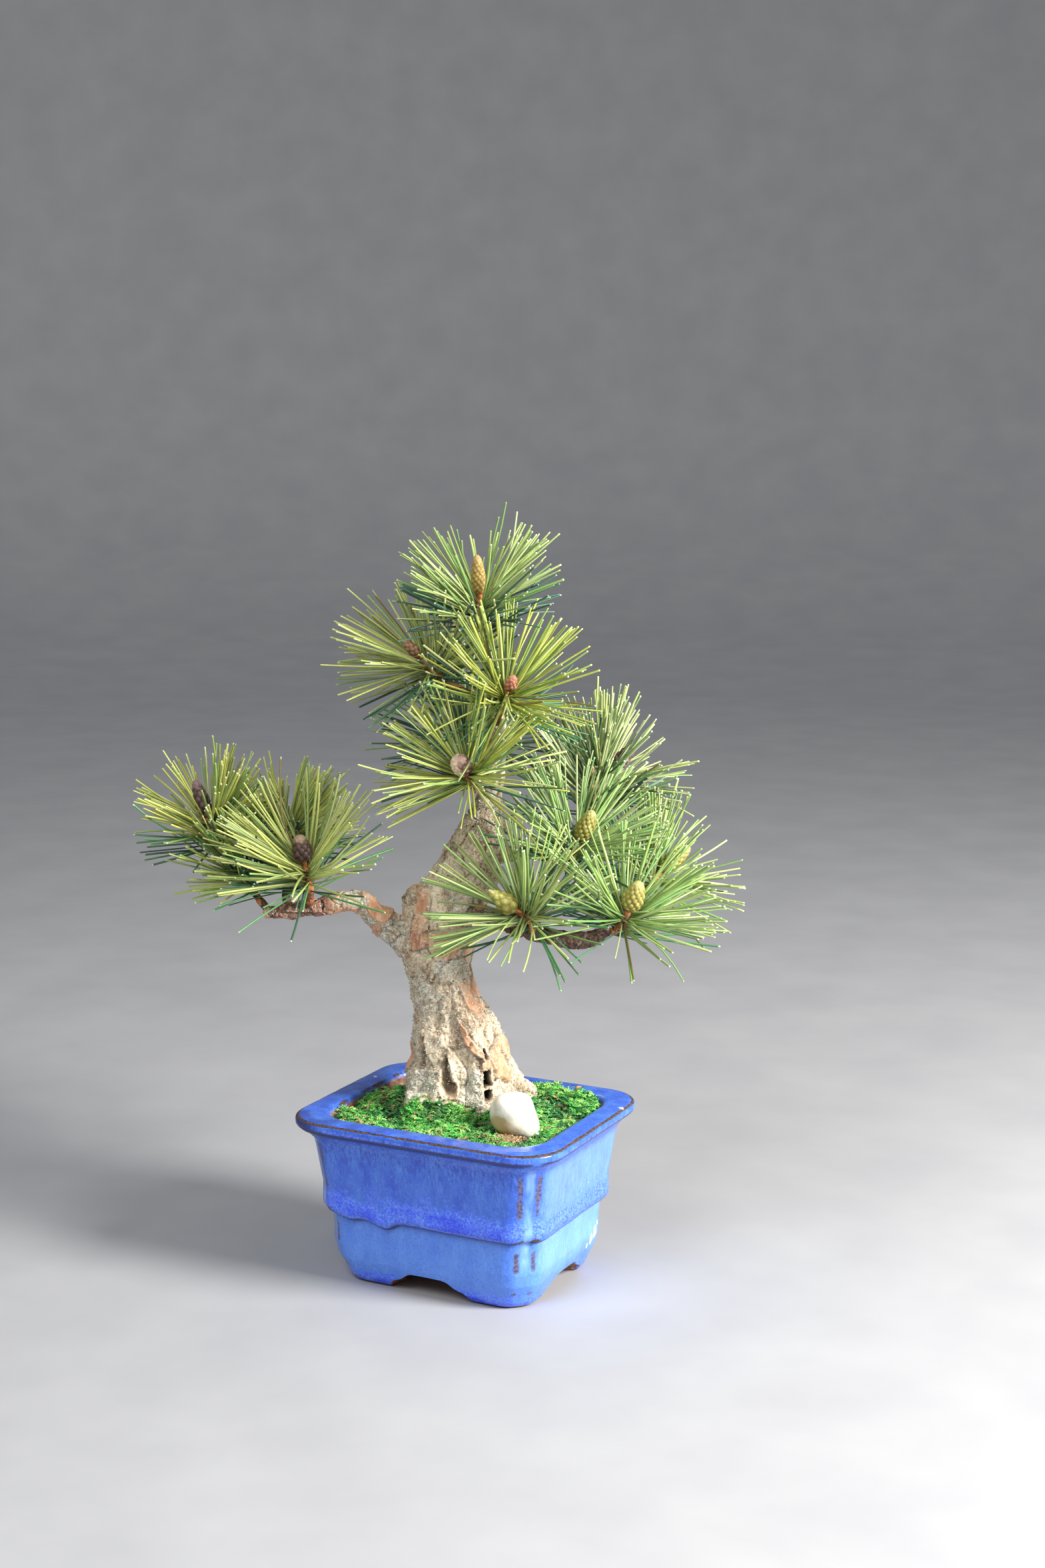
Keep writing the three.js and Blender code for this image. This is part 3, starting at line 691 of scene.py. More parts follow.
def corner_shape(share):
    """A quarter turn from (1, 0) to (0, 1), with two soft arrises when share is 1."""
    t = np.linspace(0, 1, 401)
    faceted = 0.33 * np.clip(t / 0.3, 0, 1) + 0.14 * ease(t, 0.3, 0.37) + 0.06 * ease(t, 0.37, 0.63)
    faceted = faceted + 0.14 * ease(t, 0.63, 0.7) + 0.33 * np.clip((t - 0.7) / 0.3, 0, 1)
    turn = (share * faceted + (1 - share) * t) * math.pi / 2
    a = np.r_[0, np.cumsum(np.sin((turn[1:] + turn[:-1]) / 2))]
    b = np.r_[0, np.cumsum(np.cos((turn[1:] + turn[:-1]) / 2))]
    keep = np.linspace(0, len(t) - 1, CORNER_SAMPLES).astype(int)
    return 1 - a[keep] / a[-1], b[keep] / b[-1]


def arch(distance):
    """Height of the pot's lower edge at some distance from the middle of a side."""
    across = [0, 7.0, 9.5, 11.5, 13.0, 15.0, 17.5, 19.2, 20.4, 21.0, 30.0]
    height = [9.5, 9.4, 8.7, 7.3, 6.1, 5.3, 4.5, 3.2, 1.4, 0.0, 0.0]
    return np.interp(np.abs(distance), across, height)


def ring_samples():
    """For each point of a ring round the pot: how much of the half sides and of the corner leg
    its x and y take, for the round and for the faceted corner, and how far round a corner it is
    from 0 to 1, or -1 on a side."""
    stretches = []
    corners = [(1, 1), (-1, 1), (-1, -1), (1, -1)]
    for k, (sx, sy) in enumerate(corners):
        back = -1 if k % 2 else 1
        legs = []
        for share in (0, 1):
            a, b = (leg[::back] for leg in corner_shape(share))
            legs += [-sx * (1 - a), -sy * (1 - b)]
        stretches.append((sx, sy, *legs, np.linspace(0, 1, CORNER_SAMPLES)))
        next_x, next_y = corners[(k + 1) % 4]
        if sy == next_y:
            run = np.linspace(-1, 1, LONG_SAMPLES + 2)[1:-1] * next_x
            stretches.append((run, sy, -run, 0, -run, 0, -1))
        else:
            run = np.linspace(-1, 1, SHORT_SAMPLES + 2)[1:-1] * next_y
            stretches.append((sx, run, 0, -run, 0, -run, -1))
    return np.concatenate([np.stack(np.broadcast_arrays(*columns)).astype(float) for columns in stretches], 1)


def pot_ring(samples, height, inset, leg, share=0):
    """One ring round the pot, set in from the rim's outer edge."""
    hx, hy, lx, ly, fx, fy, _ = samples
    half_x, half_y = POT_HALF[0] - inset, POT_HALF[1] - inset
    x = hx * half_x + leg * (share * fx + (1 - share) * lx)
    y = hy * half_y + leg * (share * fy + (1 - share) * ly)
    return np.stack([x, y, np.broadcast_to(height, x.shape)], -1)


def glaze_runs(hx, hy, turn, x, y):
    """How far thick glaze hangs below the ledge, all round the pot."""
    seam = np.stack([x, y, 0 * x], -1)
    runs = 0.3 * noise(seam, 9, 5) + 0.15 * noise(seam, 4, 6)
    sharp = np.where(x > RUN_LARGE, 3.4, 6.5)
    runs = runs + (hy < -0.99) * (3.2 * bell(x, RUN_LARGE, sharp) + 1.6 * bell(x, RUN_SMALL, 4.4))
    runs = runs + (hy > 0.99) * 2.2 * bell(x, 16, 5) + (hx < -0.99) * 1.6 * bell(y, 6, 5)
    return runs - 0.8 * span(turn, 0.25, 0.45, 0.55, 0.75) * (turn >= 0)


def pot_rings(samples, lower, runs):
    """Rings from the feet up the outside, down the inside, across the floor and through the drain
    hole to the underside. Also how far each is set in and how much of it is bare clay, and how
    many of them make up the outer wall."""
    count = samples.shape[1]
    wall = resample(POT_OUTSIDE, [0, 1], 0.45, 0.4)
    inner = resample(POT_INSIDE, [0, 1], 2.0, 2.0)[1:]
    top = int(np.argmax(wall[:, 0]))
    rings, clay, insets = [], [], []
    for number, (z, inset, leg, share) in enumerate(wall):
        height = np.full(count, z)
        if number < top and z < FOOT_ZONE:
            height = lower + (FOOT_ZONE - lower) * max(z, 0) / FOOT_ZONE
            inset, leg, share = (np.interp(height, wall[:top, 0], wall[:top, k]) for k in (1, 2, 3))
        elif number < top:
            height = height - runs * span(z, *LEDGE)
        rings.append(pot_ring(samples, height, inset, leg, share))
        clay.append(0.0)
        insets.append(wall[number, 1])
    for z, inset, leg, share in inner:
        rings.append(pot_ring(samples, z, inset, leg, share))
        clay.append(ease(LIP_INNER[0] - z, 0.3, 1.6))
    floor = rings[-1]
    circle = unit(floor * [0.8, 1, 0]) * DRAIN_RADIUS
    for share in np.linspace(0.15, 1, 10):
        rings.append(floor * (1 - share) + (circle + [0, 0, FLOOR_TOP]) * share)
    for height in (13, 11.5, RECESS_HEIGHT):
        rings.append(circle + [0, 0, height])
    recess = pot_ring(samples, RECESS_HEIGHT, 30.1, 6.0)
    for share in np.linspace(0.15, 1, 9):
        rings.append((circle + [0, 0, RECESS_HEIGHT]) * (1 - share) + recess * share)
    for share in np.linspace(0.2, 1, 6):
        rings.append(recess + np.stack([0 * lower, 0 * lower, (lower - RECESS_HEIGHT) * share], -1))
    foot_inner = np.stack([recess[:, 0], recess[:, 1], lower], -1)
    for share in (0.12, 0.5, 0.88):
        rings.append(foot_inner * (1 - share) + rings[0] * share)
    clay += [1.0] * (len(rings) - len(clay))
    insets += [99.0] * (len(rings) - len(insets))
    return rings, insets, clay, top


def glaze_marks(points, turn, side_x, side_y, drop, inset, is_wall):
    """What the glaze does at each point: where it pools, breaks, streaks and is chipped, with painted shade
    under the ledge and the lip and a painted sheen on the lit right end face.
    """
    x, y, z = points.T
    in_corner = turn >= 0
    # Height as it would be without the runs, so that marks follow them.
    level = np.where(is_wall & (z > LEDGE[0]), z + drop * span(z, *LEDGE), z)
    facet = span(turn, 0.38, 0.47, 0.53, 0.62) * in_corner
    corner = span(turn, 0.12, 0.3, 0.7, 0.88) * in_corner
    tear = noise(points, (3, 3, 5), 17) + 0.5 * noise(points, (1.4, 1.4, 3), 18)
    on_lip = z > LIP_TOP

    pool_and_shade = span(level, 33.4, 35, 40, 46) + 0.35 * bell(level, 47, 4)
    # Painted shade: the bell at 73.4 darkens the lip's outer face to deep blue through this mask.
    pool_and_shade = pool_and_shade + 1.15 * (1 - ease(z, 1, 12)) + 0.3 * bell(z, 68, 2.5) + 0.75 * bell(z, 73.4, 1.3) * is_wall
    pool_and_shade = pool_and_shade + 0.3 * on_lip * noise(points, 9, 12)
    pool_and_shade = pool_and_shade * (0.85 + 0.3 * noise(points, 6, 11)) * np.where(side_x > 0.99, 0.8, 1) * (1 - 0.85 * facet)

    # Painted shade: a dark line under the ledge and a band just above it, a dark band under the lip, and
    # darker mottling on the rim top that weakens toward the lit right end.
    shade = bell(level, 33.3, 0.8) * is_wall + 1.6 * bell(z, 71.8, 1.3) * is_wall
    shade = shade * (1 - 0.9 * facet) + 0.3 * bell(level, 35.2, 1.3) * is_wall * (1 - facet)
    shade = shade + on_lip * (0.28 + 0.3 * noise(points, 5, 13)) * (1 - 0.6 * ease(x, 20, 60))
    # Painted shadow: the lip's underside is darkened heavily round the far left corner.
    left_corner = ease(-x, 40, 58) * ease(-y, 30, 46) * is_wall
    shade = shade + 1.6 * left_corner * bell(z, 73.2, 2.6)

    arris = np.maximum(bell(turn, 0.33, 0.062), bell(turn, 0.67, 0.062)) * in_corner
    dashes = span(z, 43.5, 46, 63.5, 66) + span(z, 18, 20, 27, 29.5) + 0.9 * bell(z, 8.3, 1.5)
    brown = corner * (1 - facet) * bell(level, 33.6, np.where(turn > 0.5, 1.7, 1.0)) * is_wall
    brown = brown + 0.8 * corner * (1 - facet) * bell(z, 69.8, 1.0) * (0.4 + 0.8 * tear)
    lip = bell(inset, 0.9, 0.75) * (z > 75.6)
    brown = brown + lip * (1.0 + 0.3 * noise(points, 9, 23) + 0.15 * tear)
    brown = brown + (1 - ease(z, 0.5, 1.4)) * is_wall
    inner_lip = bell(inset, 11.7, 0.6) * (z > 74)
    brown = brown + inner_lip * (0.45 + 0.7 * noise(points, 6, 24))

    chip = np.zeros(len(points))
    for cx, cy, cz, across, tall in CHIPS:
        far = np.hypot(np.hypot(x - cx, y - cy) / across, (z - cz) / tall)
        chip = np.maximum(chip, 1 - ease(far + 0.6 * noise(points, 1.2, 37), 0.6, 1.1))

    thin = 0.62 * facet * span(z, 14, 24, 66, 70) * (0.8 + 0.7 * tear)
    thin = thin + 0.7 * bell(turn, 0.5, 0.17) * in_corner * bell(z, 39, 4)
    # Painted sheen: the right end face, the lit side, is painted paler with the thin glaze's colour.
    into_corner = np.where(side_y < 0, ease(turn, 0.55, 1), 1 - ease(turn, 0, 0.45))
    end_side = (side_x > 0.99) * np.where(in_corner, into_corner, 1)
    thin = thin + 0.5 * end_side * span(z, 8, 20, 62, 70) * (1 - 0.7 * bell(z, 38, 5))
    return dict(
        pool_and_shade=pool_and_shade,
        shade=shade,
        brown=brown,
        dash=arris * dashes * (1.0 + 0.3 * tear),
        chip=chip,
        thin=thin,
        streaky=ease(z, 46, 69) * (1 - 0.8 * ease(z, 74, LIP_TOP)),
        low=1 - ease(level, 31.5, 33),
    )


def pot():
    samples = ring_samples()
    hx, hy, lx, ly, _, _, turn = samples
    count = len(hx)
    # Where each column of points stands at mid height.
    x = hx * (POT_HALF[0] - 17) + lx * 14.6
    y = hy * (POT_HALF[1] - 17) + ly * 14.6
    on_long, on_short = ((turn < 0) & (np.abs(side) == 1) for side in (hy, hx))
    lower = np.where(on_long, arch(x), np.where(on_short, arch(y), 0))
    runs = glaze_runs(hx, hy, turn, x, y)
    rings, insets, clay, top = pot_rings(samples, lower, runs)
    reach = len(rings)
    points = np.concatenate(rings)
    inset, clay = np.repeat(insets, count), np.repeat(clay, count)
    turn, side_x, side_y, drop = (np.tile(values, reach) for values in (turn, hx, hy, runs))
    is_wall = np.repeat(np.arange(reach) < top, count)
    marks = glaze_marks(points, turn, side_x, side_y, drop, inset, is_wall)
    # Thick glaze is uneven: a slight wave all over.
    push = 0.14 * noise(points * [1, 1, 0.35], 7, 41) + 0.06 * noise(points, 2.2, 43)
    x, y, _ = points.T
    out_x, out_y = np.sign(x) * (np.abs(side_x) > 0.9), np.sign(y) * (np.abs(side_y) > 0.9)
    out = unit(np.stack([out_x, out_y, 0 * x], -1))
    points = points + out * (push * (1 - clay))[:, None]
    make("pot_glazed", points, [grid_faces(reach, count, True)], GLAZE, "glaze", ["pot"], clay=clay, **marks)


pot()
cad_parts["soil"].data.materials.clear()
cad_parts["soil"].data.materials.append(SOIL)

# ------------------------------------------------------------------ trunk and branches

# What the best side shows: what it is, how far it stands out, and its outline in (u, z).
FEATURES = [
    ("plate", 1.3, [(-20, 178), (-15, 177), (-15, 171), (-16, 163), (-16.5, 152), (-22.5, 149), (-23.5, 154),
                    (-22, 165)]),
    ("plate", 1.2, [(-16.5, 158), (-10, 159.5), (1, 159.5), (2, 157), (-2, 152), (-8, 145), (-13.5, 145.5),
                    (-16.5, 153)]),
    ("plate", 0.9, [(-1, 152), (3, 152.5), (3.5, 141.5), (0, 141.5)]),
    ("pale", 1.4, [(-16, 143), (-13.5, 145), (-2, 145.5), (3, 139), (3, 135.5), (-5, 135.5), (-11.5, 136)]),
    ("plate", 1.1, [(-5, 135), (2, 135.5), (6, 130.5), (8, 124), (8.5, 120.5), (6, 118), (3.5, 122),
                    (1.5, 122.5), (-2, 129.5)]),
    ("wood", 0.2, [(-8.5, 129.5), (-2.5, 129.5), (2, 120), (3, 112), (-0.5, 112), (-4, 120), (-7, 121.5)]),
    ("plate", 1.5, [(-4, 120), (-2, 117), (0.5, 115), (3, 108.5), (6, 106.5), (8.5, 101), (7, 99.5),
                    (3, 104.5), (0, 108), (-3, 115)]),
    ("plate", 1.8, [(14, 111), (18, 106), (21, 101), (21, 89.5), (19.5, 87), (15.5, 90), (13.5, 91.5),
                    (11, 98.5), (12.5, 104)]),
    ("plate", 1.4, [(6.5, 101), (11, 100.5), (11.5, 96.5), (7, 96)]),
    ("hole", -9, [(8.5, 95.5), (10.5, 95), (11.5, 91.5), (11.5, 88.5), (8.5, 88), (8, 92)]),
    ("hole", -7, [(8, 86.5), (11, 86.5), (11, 83), (8.5, 83)]),
    ("hole", -3, [(7, 105), (9, 104.5), (10, 101), (8.5, 100.5)]),
    ("recess", -2.2, [(-20.5, 111), (-17.5, 111), (-18, 102.5), (-17.5, 97), (-21, 94), (-23, 95.5),
                      (-21.5, 108.5)]),
    ("recess", -4.5, [(-9.5, 102.5), (-7.5, 101.5), (-7, 94), (-4.5, 89.5), (-4, 84.5), (-10, 84.5),
                      (-11, 91.5), (-10.5, 98.5)]),
    ("wood", 1.6, [(-7.5, 103), (-5.5, 98.5), (-4, 91.5), (-3, 83.5), (-4, 82), (-4.5, 89.5), (-6.5, 94)]),
    ("plate", 1.0, [(-7.5, 86.5), (-3.5, 86.5), (-4, 83), (-7.5, 83.5)]),
    ("pale", 0.5, [(-21, 138.5), (-14.5, 136), (-8.5, 129.5), (-9, 121.5), (-20, 121.5), (-21, 128.5)]),
    ("pale", 0.6, [(-27.5, 95), (-11.5, 95), (-10.5, 84.5), (-20, 80), (-28, 84)]),
    ("pale", 0.6, [(-2, 96.5), (7.5, 95), (7.5, 80), (-3, 80)]),
]
LEFT_BOARD = [(-47, 175), (-40, 176), (-31, 165), (-36, 160), (-42, 163)]


def flute(angle, height):
    depth = 0.1 * np.clip((190 - height) / 110, 0, 1)
    return 1 + depth * np.cos(5 * angle + 0.6) + 0.4 * depth * np.cos(9 * angle + 2.1)


def bark_relief(points, amount, plates, seed, size=(9, 9, 17)):
    """Relief of old bark at points in tree coordinates: how far each stands out, and its masks."""
    bent = points + 1.6 * np.stack([noise(points, 6, seed + k) for k in range(3)], -1)
    first, second, own = cells(bent, np.array(size, float), seed + 10)
    edge = second - first
    is_plate = (own > 1 - plates).astype(float)
    lifted = is_plate * ease(edge, 0.03, 0.1)
    crack_and_shade = (1 - ease(edge, 0.0, 0.09)) * (0.5 + 0.5 * ease(noise(points, 5, seed + 20), -0.3, 0.4))
    lumps = rough(points, 9, seed + 30, 3)
    grit = rough(points, 1.9, seed + 40, 3, 0.6)
    tall = np.array([1, 1, 4.5]) if size[2] > size[0] else 1
    ridge = 0.9 - 2 * np.abs(noise(bent, 5.4 * tall, seed + 60)) + 0.5 * noise(bent, 2.6 * tall, seed + 61)
    push = 1.1 * lumps + (own - 0.5) * 0.9 + 0.9 * lifted - 0.9 * crack_and_shade + 0.9 * ridge * (1 - 0.7 * lifted)
    push = push + grit * (0.6 - 0.4 * lifted)
    pale = ease(noise(points, 13, seed + 50) + 0.5 * noise(points, 4, seed + 55), 0.0, 0.7) * (1 - lifted)
    return amount * push, lifted, 0.85 * crack_and_shade, pale


def trunk_features(points, front, push, plate, crack_and_shade, pale):
    """Adds to the relief and the masks what the best side shows. Returns them with the painted shadow of the
    holes.
    """
    hole_shadow = np.zeros(len(points))
    warp = np.stack([noise(points, 3.5, 61), noise(points, 3.5, 62)], -1) * 0.8
    flat = points[:, [0, 2]] + warp
    insides = [inside(flat, outline) for _, _, outline in FEATURES]
    z = points[:, 2]
    covered = np.clip(sum(ease(far, -1.2, 0.2) for far in insides), 0, 1) * front
    near_side = front * span(z, 76, 80, 176, 182)
    plate = plate * (1 - front * ease(z, 76, 80) * (1 - 0.4 * ease(z, 205, 220)))
    push = push * (1 - 0.25 * near_side)
    crack_and_shade = crack_and_shade * (1 - 0.6 * near_side)
    pale = pale * (1 - 0.3 * near_side) * (1 - covered)
    for (kind, depth, _), far in zip(FEATURES, insides):
        within = ease(far, -0.25, 0.35) * front
        if kind == "plate":
            # The edge of a plate curls away from the wood, with a painted shadow line under it.
            curl = 0.6 * bell(far, 0.6, 0.7) * (0.4 + 0.6 * noise(points, 5, 71))
            push = push + (depth + curl) * within
            plate = np.maximum(plate, within * (0.75 + 0.35 * noise(points, 6, 73)))
            crack_and_shade = np.maximum(crack_and_shade, front * bell(far, -0.5, 0.5) * (0.6 + 0.5 * noise(points, 4, 75)))
        elif kind == "pale":
            push = push + depth * within + 0.4 * within * noise(points, 1.3, 77)
            pale = np.maximum(pale, ease(far + 2.2 * noise(points, 4, 79), -3, 4) * front)
        elif kind == "hole":
            push = push + depth * ease(far, -0.7, 0.6) * front
            # Painted shadow: the inside of a hole is painted very dark.
            hole_shadow = np.maximum(hole_shadow, ease(far, -0.8, -0.05) * front)
        elif kind == "recess":
            push = push + depth * ease(far, -0.4, 1.4) * front
            plate = np.maximum(plate * (1 - within), 0.4 * within)
            # Painted shade: the inside of a recess is darkened.
            crack_and_shade = np.maximum(crack_and_shade * (1 - within), 0.75 * ease(far, 0.1, 1.4) * front)
            pale = pale * (1 - within)
        else:
            push = push + depth * within
            crack_and_shade = crack_and_shade * (1 - within)
    return push, plate, crack_and_shade, pale, hole_shadow


def finish_bark(name, node, paint, slot, sides, points, ends, **masks):
    """A limb from its rings in tree coordinates, its two end points and its masks."""
    placed = place(np.concatenate([points, ends]))
    masks = {key: np.r_[value, 0, 0] for key, value in masks.items()}
    make(name, placed, skin(len(points) // sides, sides), paint, slot, [node], **masks)


def trunk():
    sides, rows = 340, 500
    table = resample(TRUNK, [0, 1, 2], (TRUNK_TOP - TRUNK_FOOT) / (rows - 1), 2.2)
    height = np.linspace(TRUNK_FOOT, TRUNK_TOP, rows)
    table = np.stack([np.interp(height, table[:, 0], column) for column in table.T], -1)
    z, a = np.repeat(height, sides), np.tile(full_turn(sides), rows)
    u0, v0, half_u, half_v = (np.repeat(table[:, k], sides) for k in range(1, 5))
    out = np.stack([np.cos(a), np.sin(a), 0 * a], -1)
    points = np.stack([u0 + half_u * flute(a, z) * np.cos(a), v0 + half_v * flute(a, z) * np.sin(a), z], -1)
    amount = np.clip((half_u - 1.5) / 10, 0.12, 1)
    front = ease(np.sin(a), 0.05, 0.3)
    relief = bark_relief(points, amount, 0.34, 100)
    push, plate, crack_and_shade, pale, hole_shadow = trunk_features(points, front, *relief)
    # A root runs out to the right, a little behind.
    push = push + 5.5 * bell(z, 80, 8) * bell(nearest_turn(a + 0.28), 0, 0.2)
    push = push + 2 * bell(z, 76, 6) * bell(np.sin(3 * a + 1), 1, 0.5)
    push = push - 2.0 * ease(np.cos(a), 0.2, 1) * span(z, 78, 88, 138, 152)
    push = push + 1.2 * ease(-np.cos(a), 0.3, 1) * (1 - ease(z, 80, 98))
    points = points + out * push[:, None]
    ends = [(0, -8, TRUNK_FOOT), (8.8, -2, TRUNK_TOP + 1)]
    masks = dict(plate=plate, crack_and_shade=crack_and_shade, pale=pale, hole_shadow=hole_shadow)
    finish_bark("trunk_bark", "trunk", BARK, "bark", sides, points, ends, **masks)
    return points, out, pale, plate, hole_shadow


def limb(stations, sides, rows, amount, plates, seed, details=None, soften=2.2):
    """A rough limb: its points, its end points, its outward ways and its masks, in tree coordinates.
    details adds to the relief and changes the masks."""
    table = resample(stations, [0, 1, 2], 0.8, soften)
    share = np.linspace(0, len(table) - 1, rows)
    table = np.stack([np.interp(share, np.arange(len(table)), column) for column in table.T], -1)
    centre, radius = table[:, :3], table[:, 3]
    tangent = unit(np.gradient(centre, axis=0))
    up = [0, 0, 1.0] if abs(tangent[len(tangent) // 2][2]) < 0.8 else [0, 1.0, 0]
    side = unit(np.cross(tangent, up))
    over = np.cross(side, tangent)
    angle = full_turn(sides)
    out = side[:, None] * np.cos(angle)[None, :, None] + over[:, None] * np.sin(angle)[None, :, None]
    points = (centre[:, None] + radius[:, None, None] * out).reshape(-1, 3)
    out = out.reshape(-1, 3)
    push, plate, crack_and_shade, pale = bark_relief(points, amount, plates, seed, (5, 5, 5))
    if details:
        extra, plate, crack_and_shade, pale = details(points, out, plate, crack_and_shade, pale)
        push = push + extra
    points = points + out * push[:, None]
    ends = np.stack([centre[0], centre[-1] + 0.6 * tangent[-1] * radius[-1]])
    return points, ends, out, dict(plate=plate, crack_and_shade=crack_and_shade, pale=pale)


def left_details(points, out, plate, crack_and_shade, pale):
    u = points[:, 0]
    extra = np.zeros(len(points))
    # A lump of glue and bark dust covers the joint with the trunk.
    collar = ease(u, -41, -33)
    extra = extra + 1.1 * collar * rough(points, 4, 211, 3)
    pale = np.maximum(pale, 0.8 * collar * ease(noise(points, 3, 213), -0.4, 0.3))
    plate = plate * (1 - collar)
    board = ease(inside(points[:, [0, 2]], LEFT_BOARD), -0.3, 0.5) * ease(out[:, 1], -0.4, 0.1)
    extra = extra + board
    plate = np.maximum(plate, 1.3 * board)
    crack_and_shade = crack_and_shade * (1 - board)
    pale = pale * (1 - board)
    bow = span(u, -60, -56, -44, -41) * ease(out[:, 2], -0.5, 0.2)
    pale = np.maximum(pale, 0.55 * bow)
    belly = span(u, -82, -79, -60, -57)
    crack_and_shade = np.maximum(crack_and_shade, 0.45 * belly * ease(noise(points, (5, 5, 1.5), 217), -0.4, 0.4))
    extra = extra + 0.8 * belly * noise(points, (5, 5, 1.2), 219)
    return extra, plate, crack_and_shade, pale


def branch(name, paint, slot, sides, amount, plates, seed, details=None):
    """A branch's skin. The left one has lost its bark toward the tip."""
    points, ends, out, masks = limb(BRANCHES[name], sides, 260, amount, plates, seed, details)
    if name == "left":
        u = points[:, 0]
        masks["mauve"] = (1 - ease(u + 2.5 * noise(points, 4, 221), -62, -57)) * ease(u, -88, -84)
    masks["hole_shadow"] = np.zeros(len(points))
    node = f"branch_{name}"
    finish_bark(f"{node}_bark", node, paint, slot, sides, points, ends, **masks)
    return points, out, masks["pale"], masks["plate"]


trunk_made = trunk()
left_made = branch("left", BARK, "bark", 110, 0.55, 0.3, 300, left_details)
branch("right", BARK_DARK, "bark_dark", 80, 0.5, 0.12, 400)
branch("back", BARK, "bark", 80, 0.4, 0.2, 500)


def chips(rng, points, out, weight, count, long, broad, thin):
    """Small closed flakes lying on a rough surface, as points and faces."""
    chosen = rng.choice(len(points), count, p=weight / weight.sum())
    centre, normal = points[chosen], out[chosen]
    normal = unit(normal + 0.8 * rng.normal(size=normal.shape))
    along = unit(np.cross(normal, rng.normal(size=normal.shape)))
    across = np.cross(normal, along)
    size = np.stack([rng.uniform(*long, count), rng.uniform(*broad, count), np.full(count, thin)], -1)
    signs = np.array([(x, y, z) for z in (-1, 1) for x, y in ((-1, -1), (1, -1), (1, 1), (-1, 1))], float)
    signs = signs[None] * rng.uniform(0.6, 1, (count, 8, 3))
    axes = np.stack([along, across, normal], 1)
    corners = centre[:, None] + np.einsum("nkj,njc->nkc", signs * size[:, None] / 2, axes)
    box = np.array([(0, 3, 2, 1), (4, 5, 6, 7), (0, 1, 5, 4), (1, 2, 6, 5), (2, 3, 7, 6), (3, 0, 4, 7)])
    faces = (box + (np.arange(count) * 8)[:, None, None]).reshape(-1, 4)
    return corners.reshape(-1, 3), [faces]


def make_chips(name, paint, slot, points, faces, colour):
    """A piece of flat-sided flakes, with one colour for each of them."""
    own_colour = np.repeat(colour, len(points) // len(colour), 0)
    make(name, points, faces, paint, slot, smooth=False, ownColour=own_colour)


def flake_colours(rng, count):
    """Some flakes are pale lichen-like fibre, the others wood."""
    is_fibre = rng.uniform(0, 1, count)[:, None] > 0.4
    tone = rng.uniform(0, 1, count)
    fibre = blend(srgb(206, 204, 180), srgb(252, 250, 238), tone)
    return np.where(is_fibre, fibre, blend(srgb(184, 154, 116), srgb(240, 220, 188), tone))


def hairs(rng, points, out, weight, count):
    """Thin curved fibres that stand off the bark."""
    steps = 6
    chosen = rng.choice(len(points), count, p=weight / weight.sum())
    normal = out[chosen]
    along = unit(np.cross(normal, rng.normal(size=normal.shape)))
    way = unit(0.5 * normal + along + 0.3 * rng.normal(size=normal.shape))
    length = rng.uniform(1.0, 3.0, count)[:, None, None]
    s = np.linspace(0, 1, steps)[None, :, None]
    bend = 0.9 * unit(rng.normal(size=normal.shape))[:, None] * s * s
    path = points[chosen][:, None] + (way[:, None] * s + bend) * length
    thin = np.full((count, steps), 0.07)
    return tubes(path, thin, thin, np.tile([0.3, 0.2, 0.9], (count, 1)), 4, 0.05)


def bark_dust():
    """Loose flakes and fibres on the trunk and on the left branch."""
    trunk_flakes, trunk_fibres, left_flakes = 13000, 140, 1100
    never = 1e-9  # weight of a place that is left bare
    rng = np.random.default_rng(7)
    points, out, pale, plate, hole_shadow = trunk_made
    keep = (points[:, 2] > 76) & (points[:, 2] < 215)
    plate = np.clip(plate, 0, 1)
    weight = keep * (0.25 + 0.8 * pale) * (1 - hole_shadow) * (1 - 0.88 * plate) + never
    flakes, faces = chips(rng, points, out, weight, trunk_flakes, (0.6, 2.1), (0.28, 0.65), 0.18)
    make_chips("trunk_flakes", FLAKE, "bark", place(flakes), faces, flake_colours(rng, trunk_flakes))
    fibres, faces, per = hairs(rng, points, out, keep * (1 - plate) + never, trunk_fibres)
    colour = np.repeat(flake_colours(rng, trunk_fibres), per, 0)
    make("trunk_fibres", place(fibres), faces, FLAKE, "bark", ownColour=colour)
    points, out, pale, plate = left_made
    weight = 0.08 + pale * np.clip(1 - plate, 0, 1) * ease(points[:, 0], -64, -58)
    flakes, faces = chips(rng, points, out, weight, left_flakes, (0.5, 1.6), (0.25, 0.6), 0.14)
    make_chips("branch_left_flakes", FLAKE, "bark", place(flakes), faces, flake_colours(rng, left_flakes))


bark_dust()

# ------------------------------------------------------------------ twigs, buds and needles

GOLDEN_ANGLE = 2.399963
# Colours of the gaps, the scales and the tip, how many scales there are and how far they stand out.
BUD_KINDS = {
    "yellow": dict(low=(136, 112, 40), high=(198, 194, 104), tip=(214, 204, 140), scales=72, lift=0.6),
    "slim": dict(low=(140, 108, 44), high=(200, 170, 88), tip=(214, 164, 108), scales=96, lift=0.4),
    "tan": dict(low=(126, 84, 58), high=(194, 146, 108), tip=(206, 160, 124), scales=30, lift=0.5),
    "mauve": dict(low=(60, 36, 34), high=(126, 96, 96), tip=(160, 130, 126), scales=44, lift=0.7),
    "flame": dict(low=(140, 122, 44), high=(184, 182, 84), tip=(212, 196, 126), scales=30, lift=0.55),
    "dark": dict(low=(50, 30, 28), high=(104, 72, 66), tip=(190, 158, 130), scales=44, lift=0.75),
    "red": dict(low=(150, 84, 64), high=(220, 142, 118), tip=(214, 150, 124), scales=34, lift=0.6),
    "cork": dict(low=(96, 58, 58), high=(158, 112, 106), tip=(196, 170, 140), scales=60, lift=0.5),
}
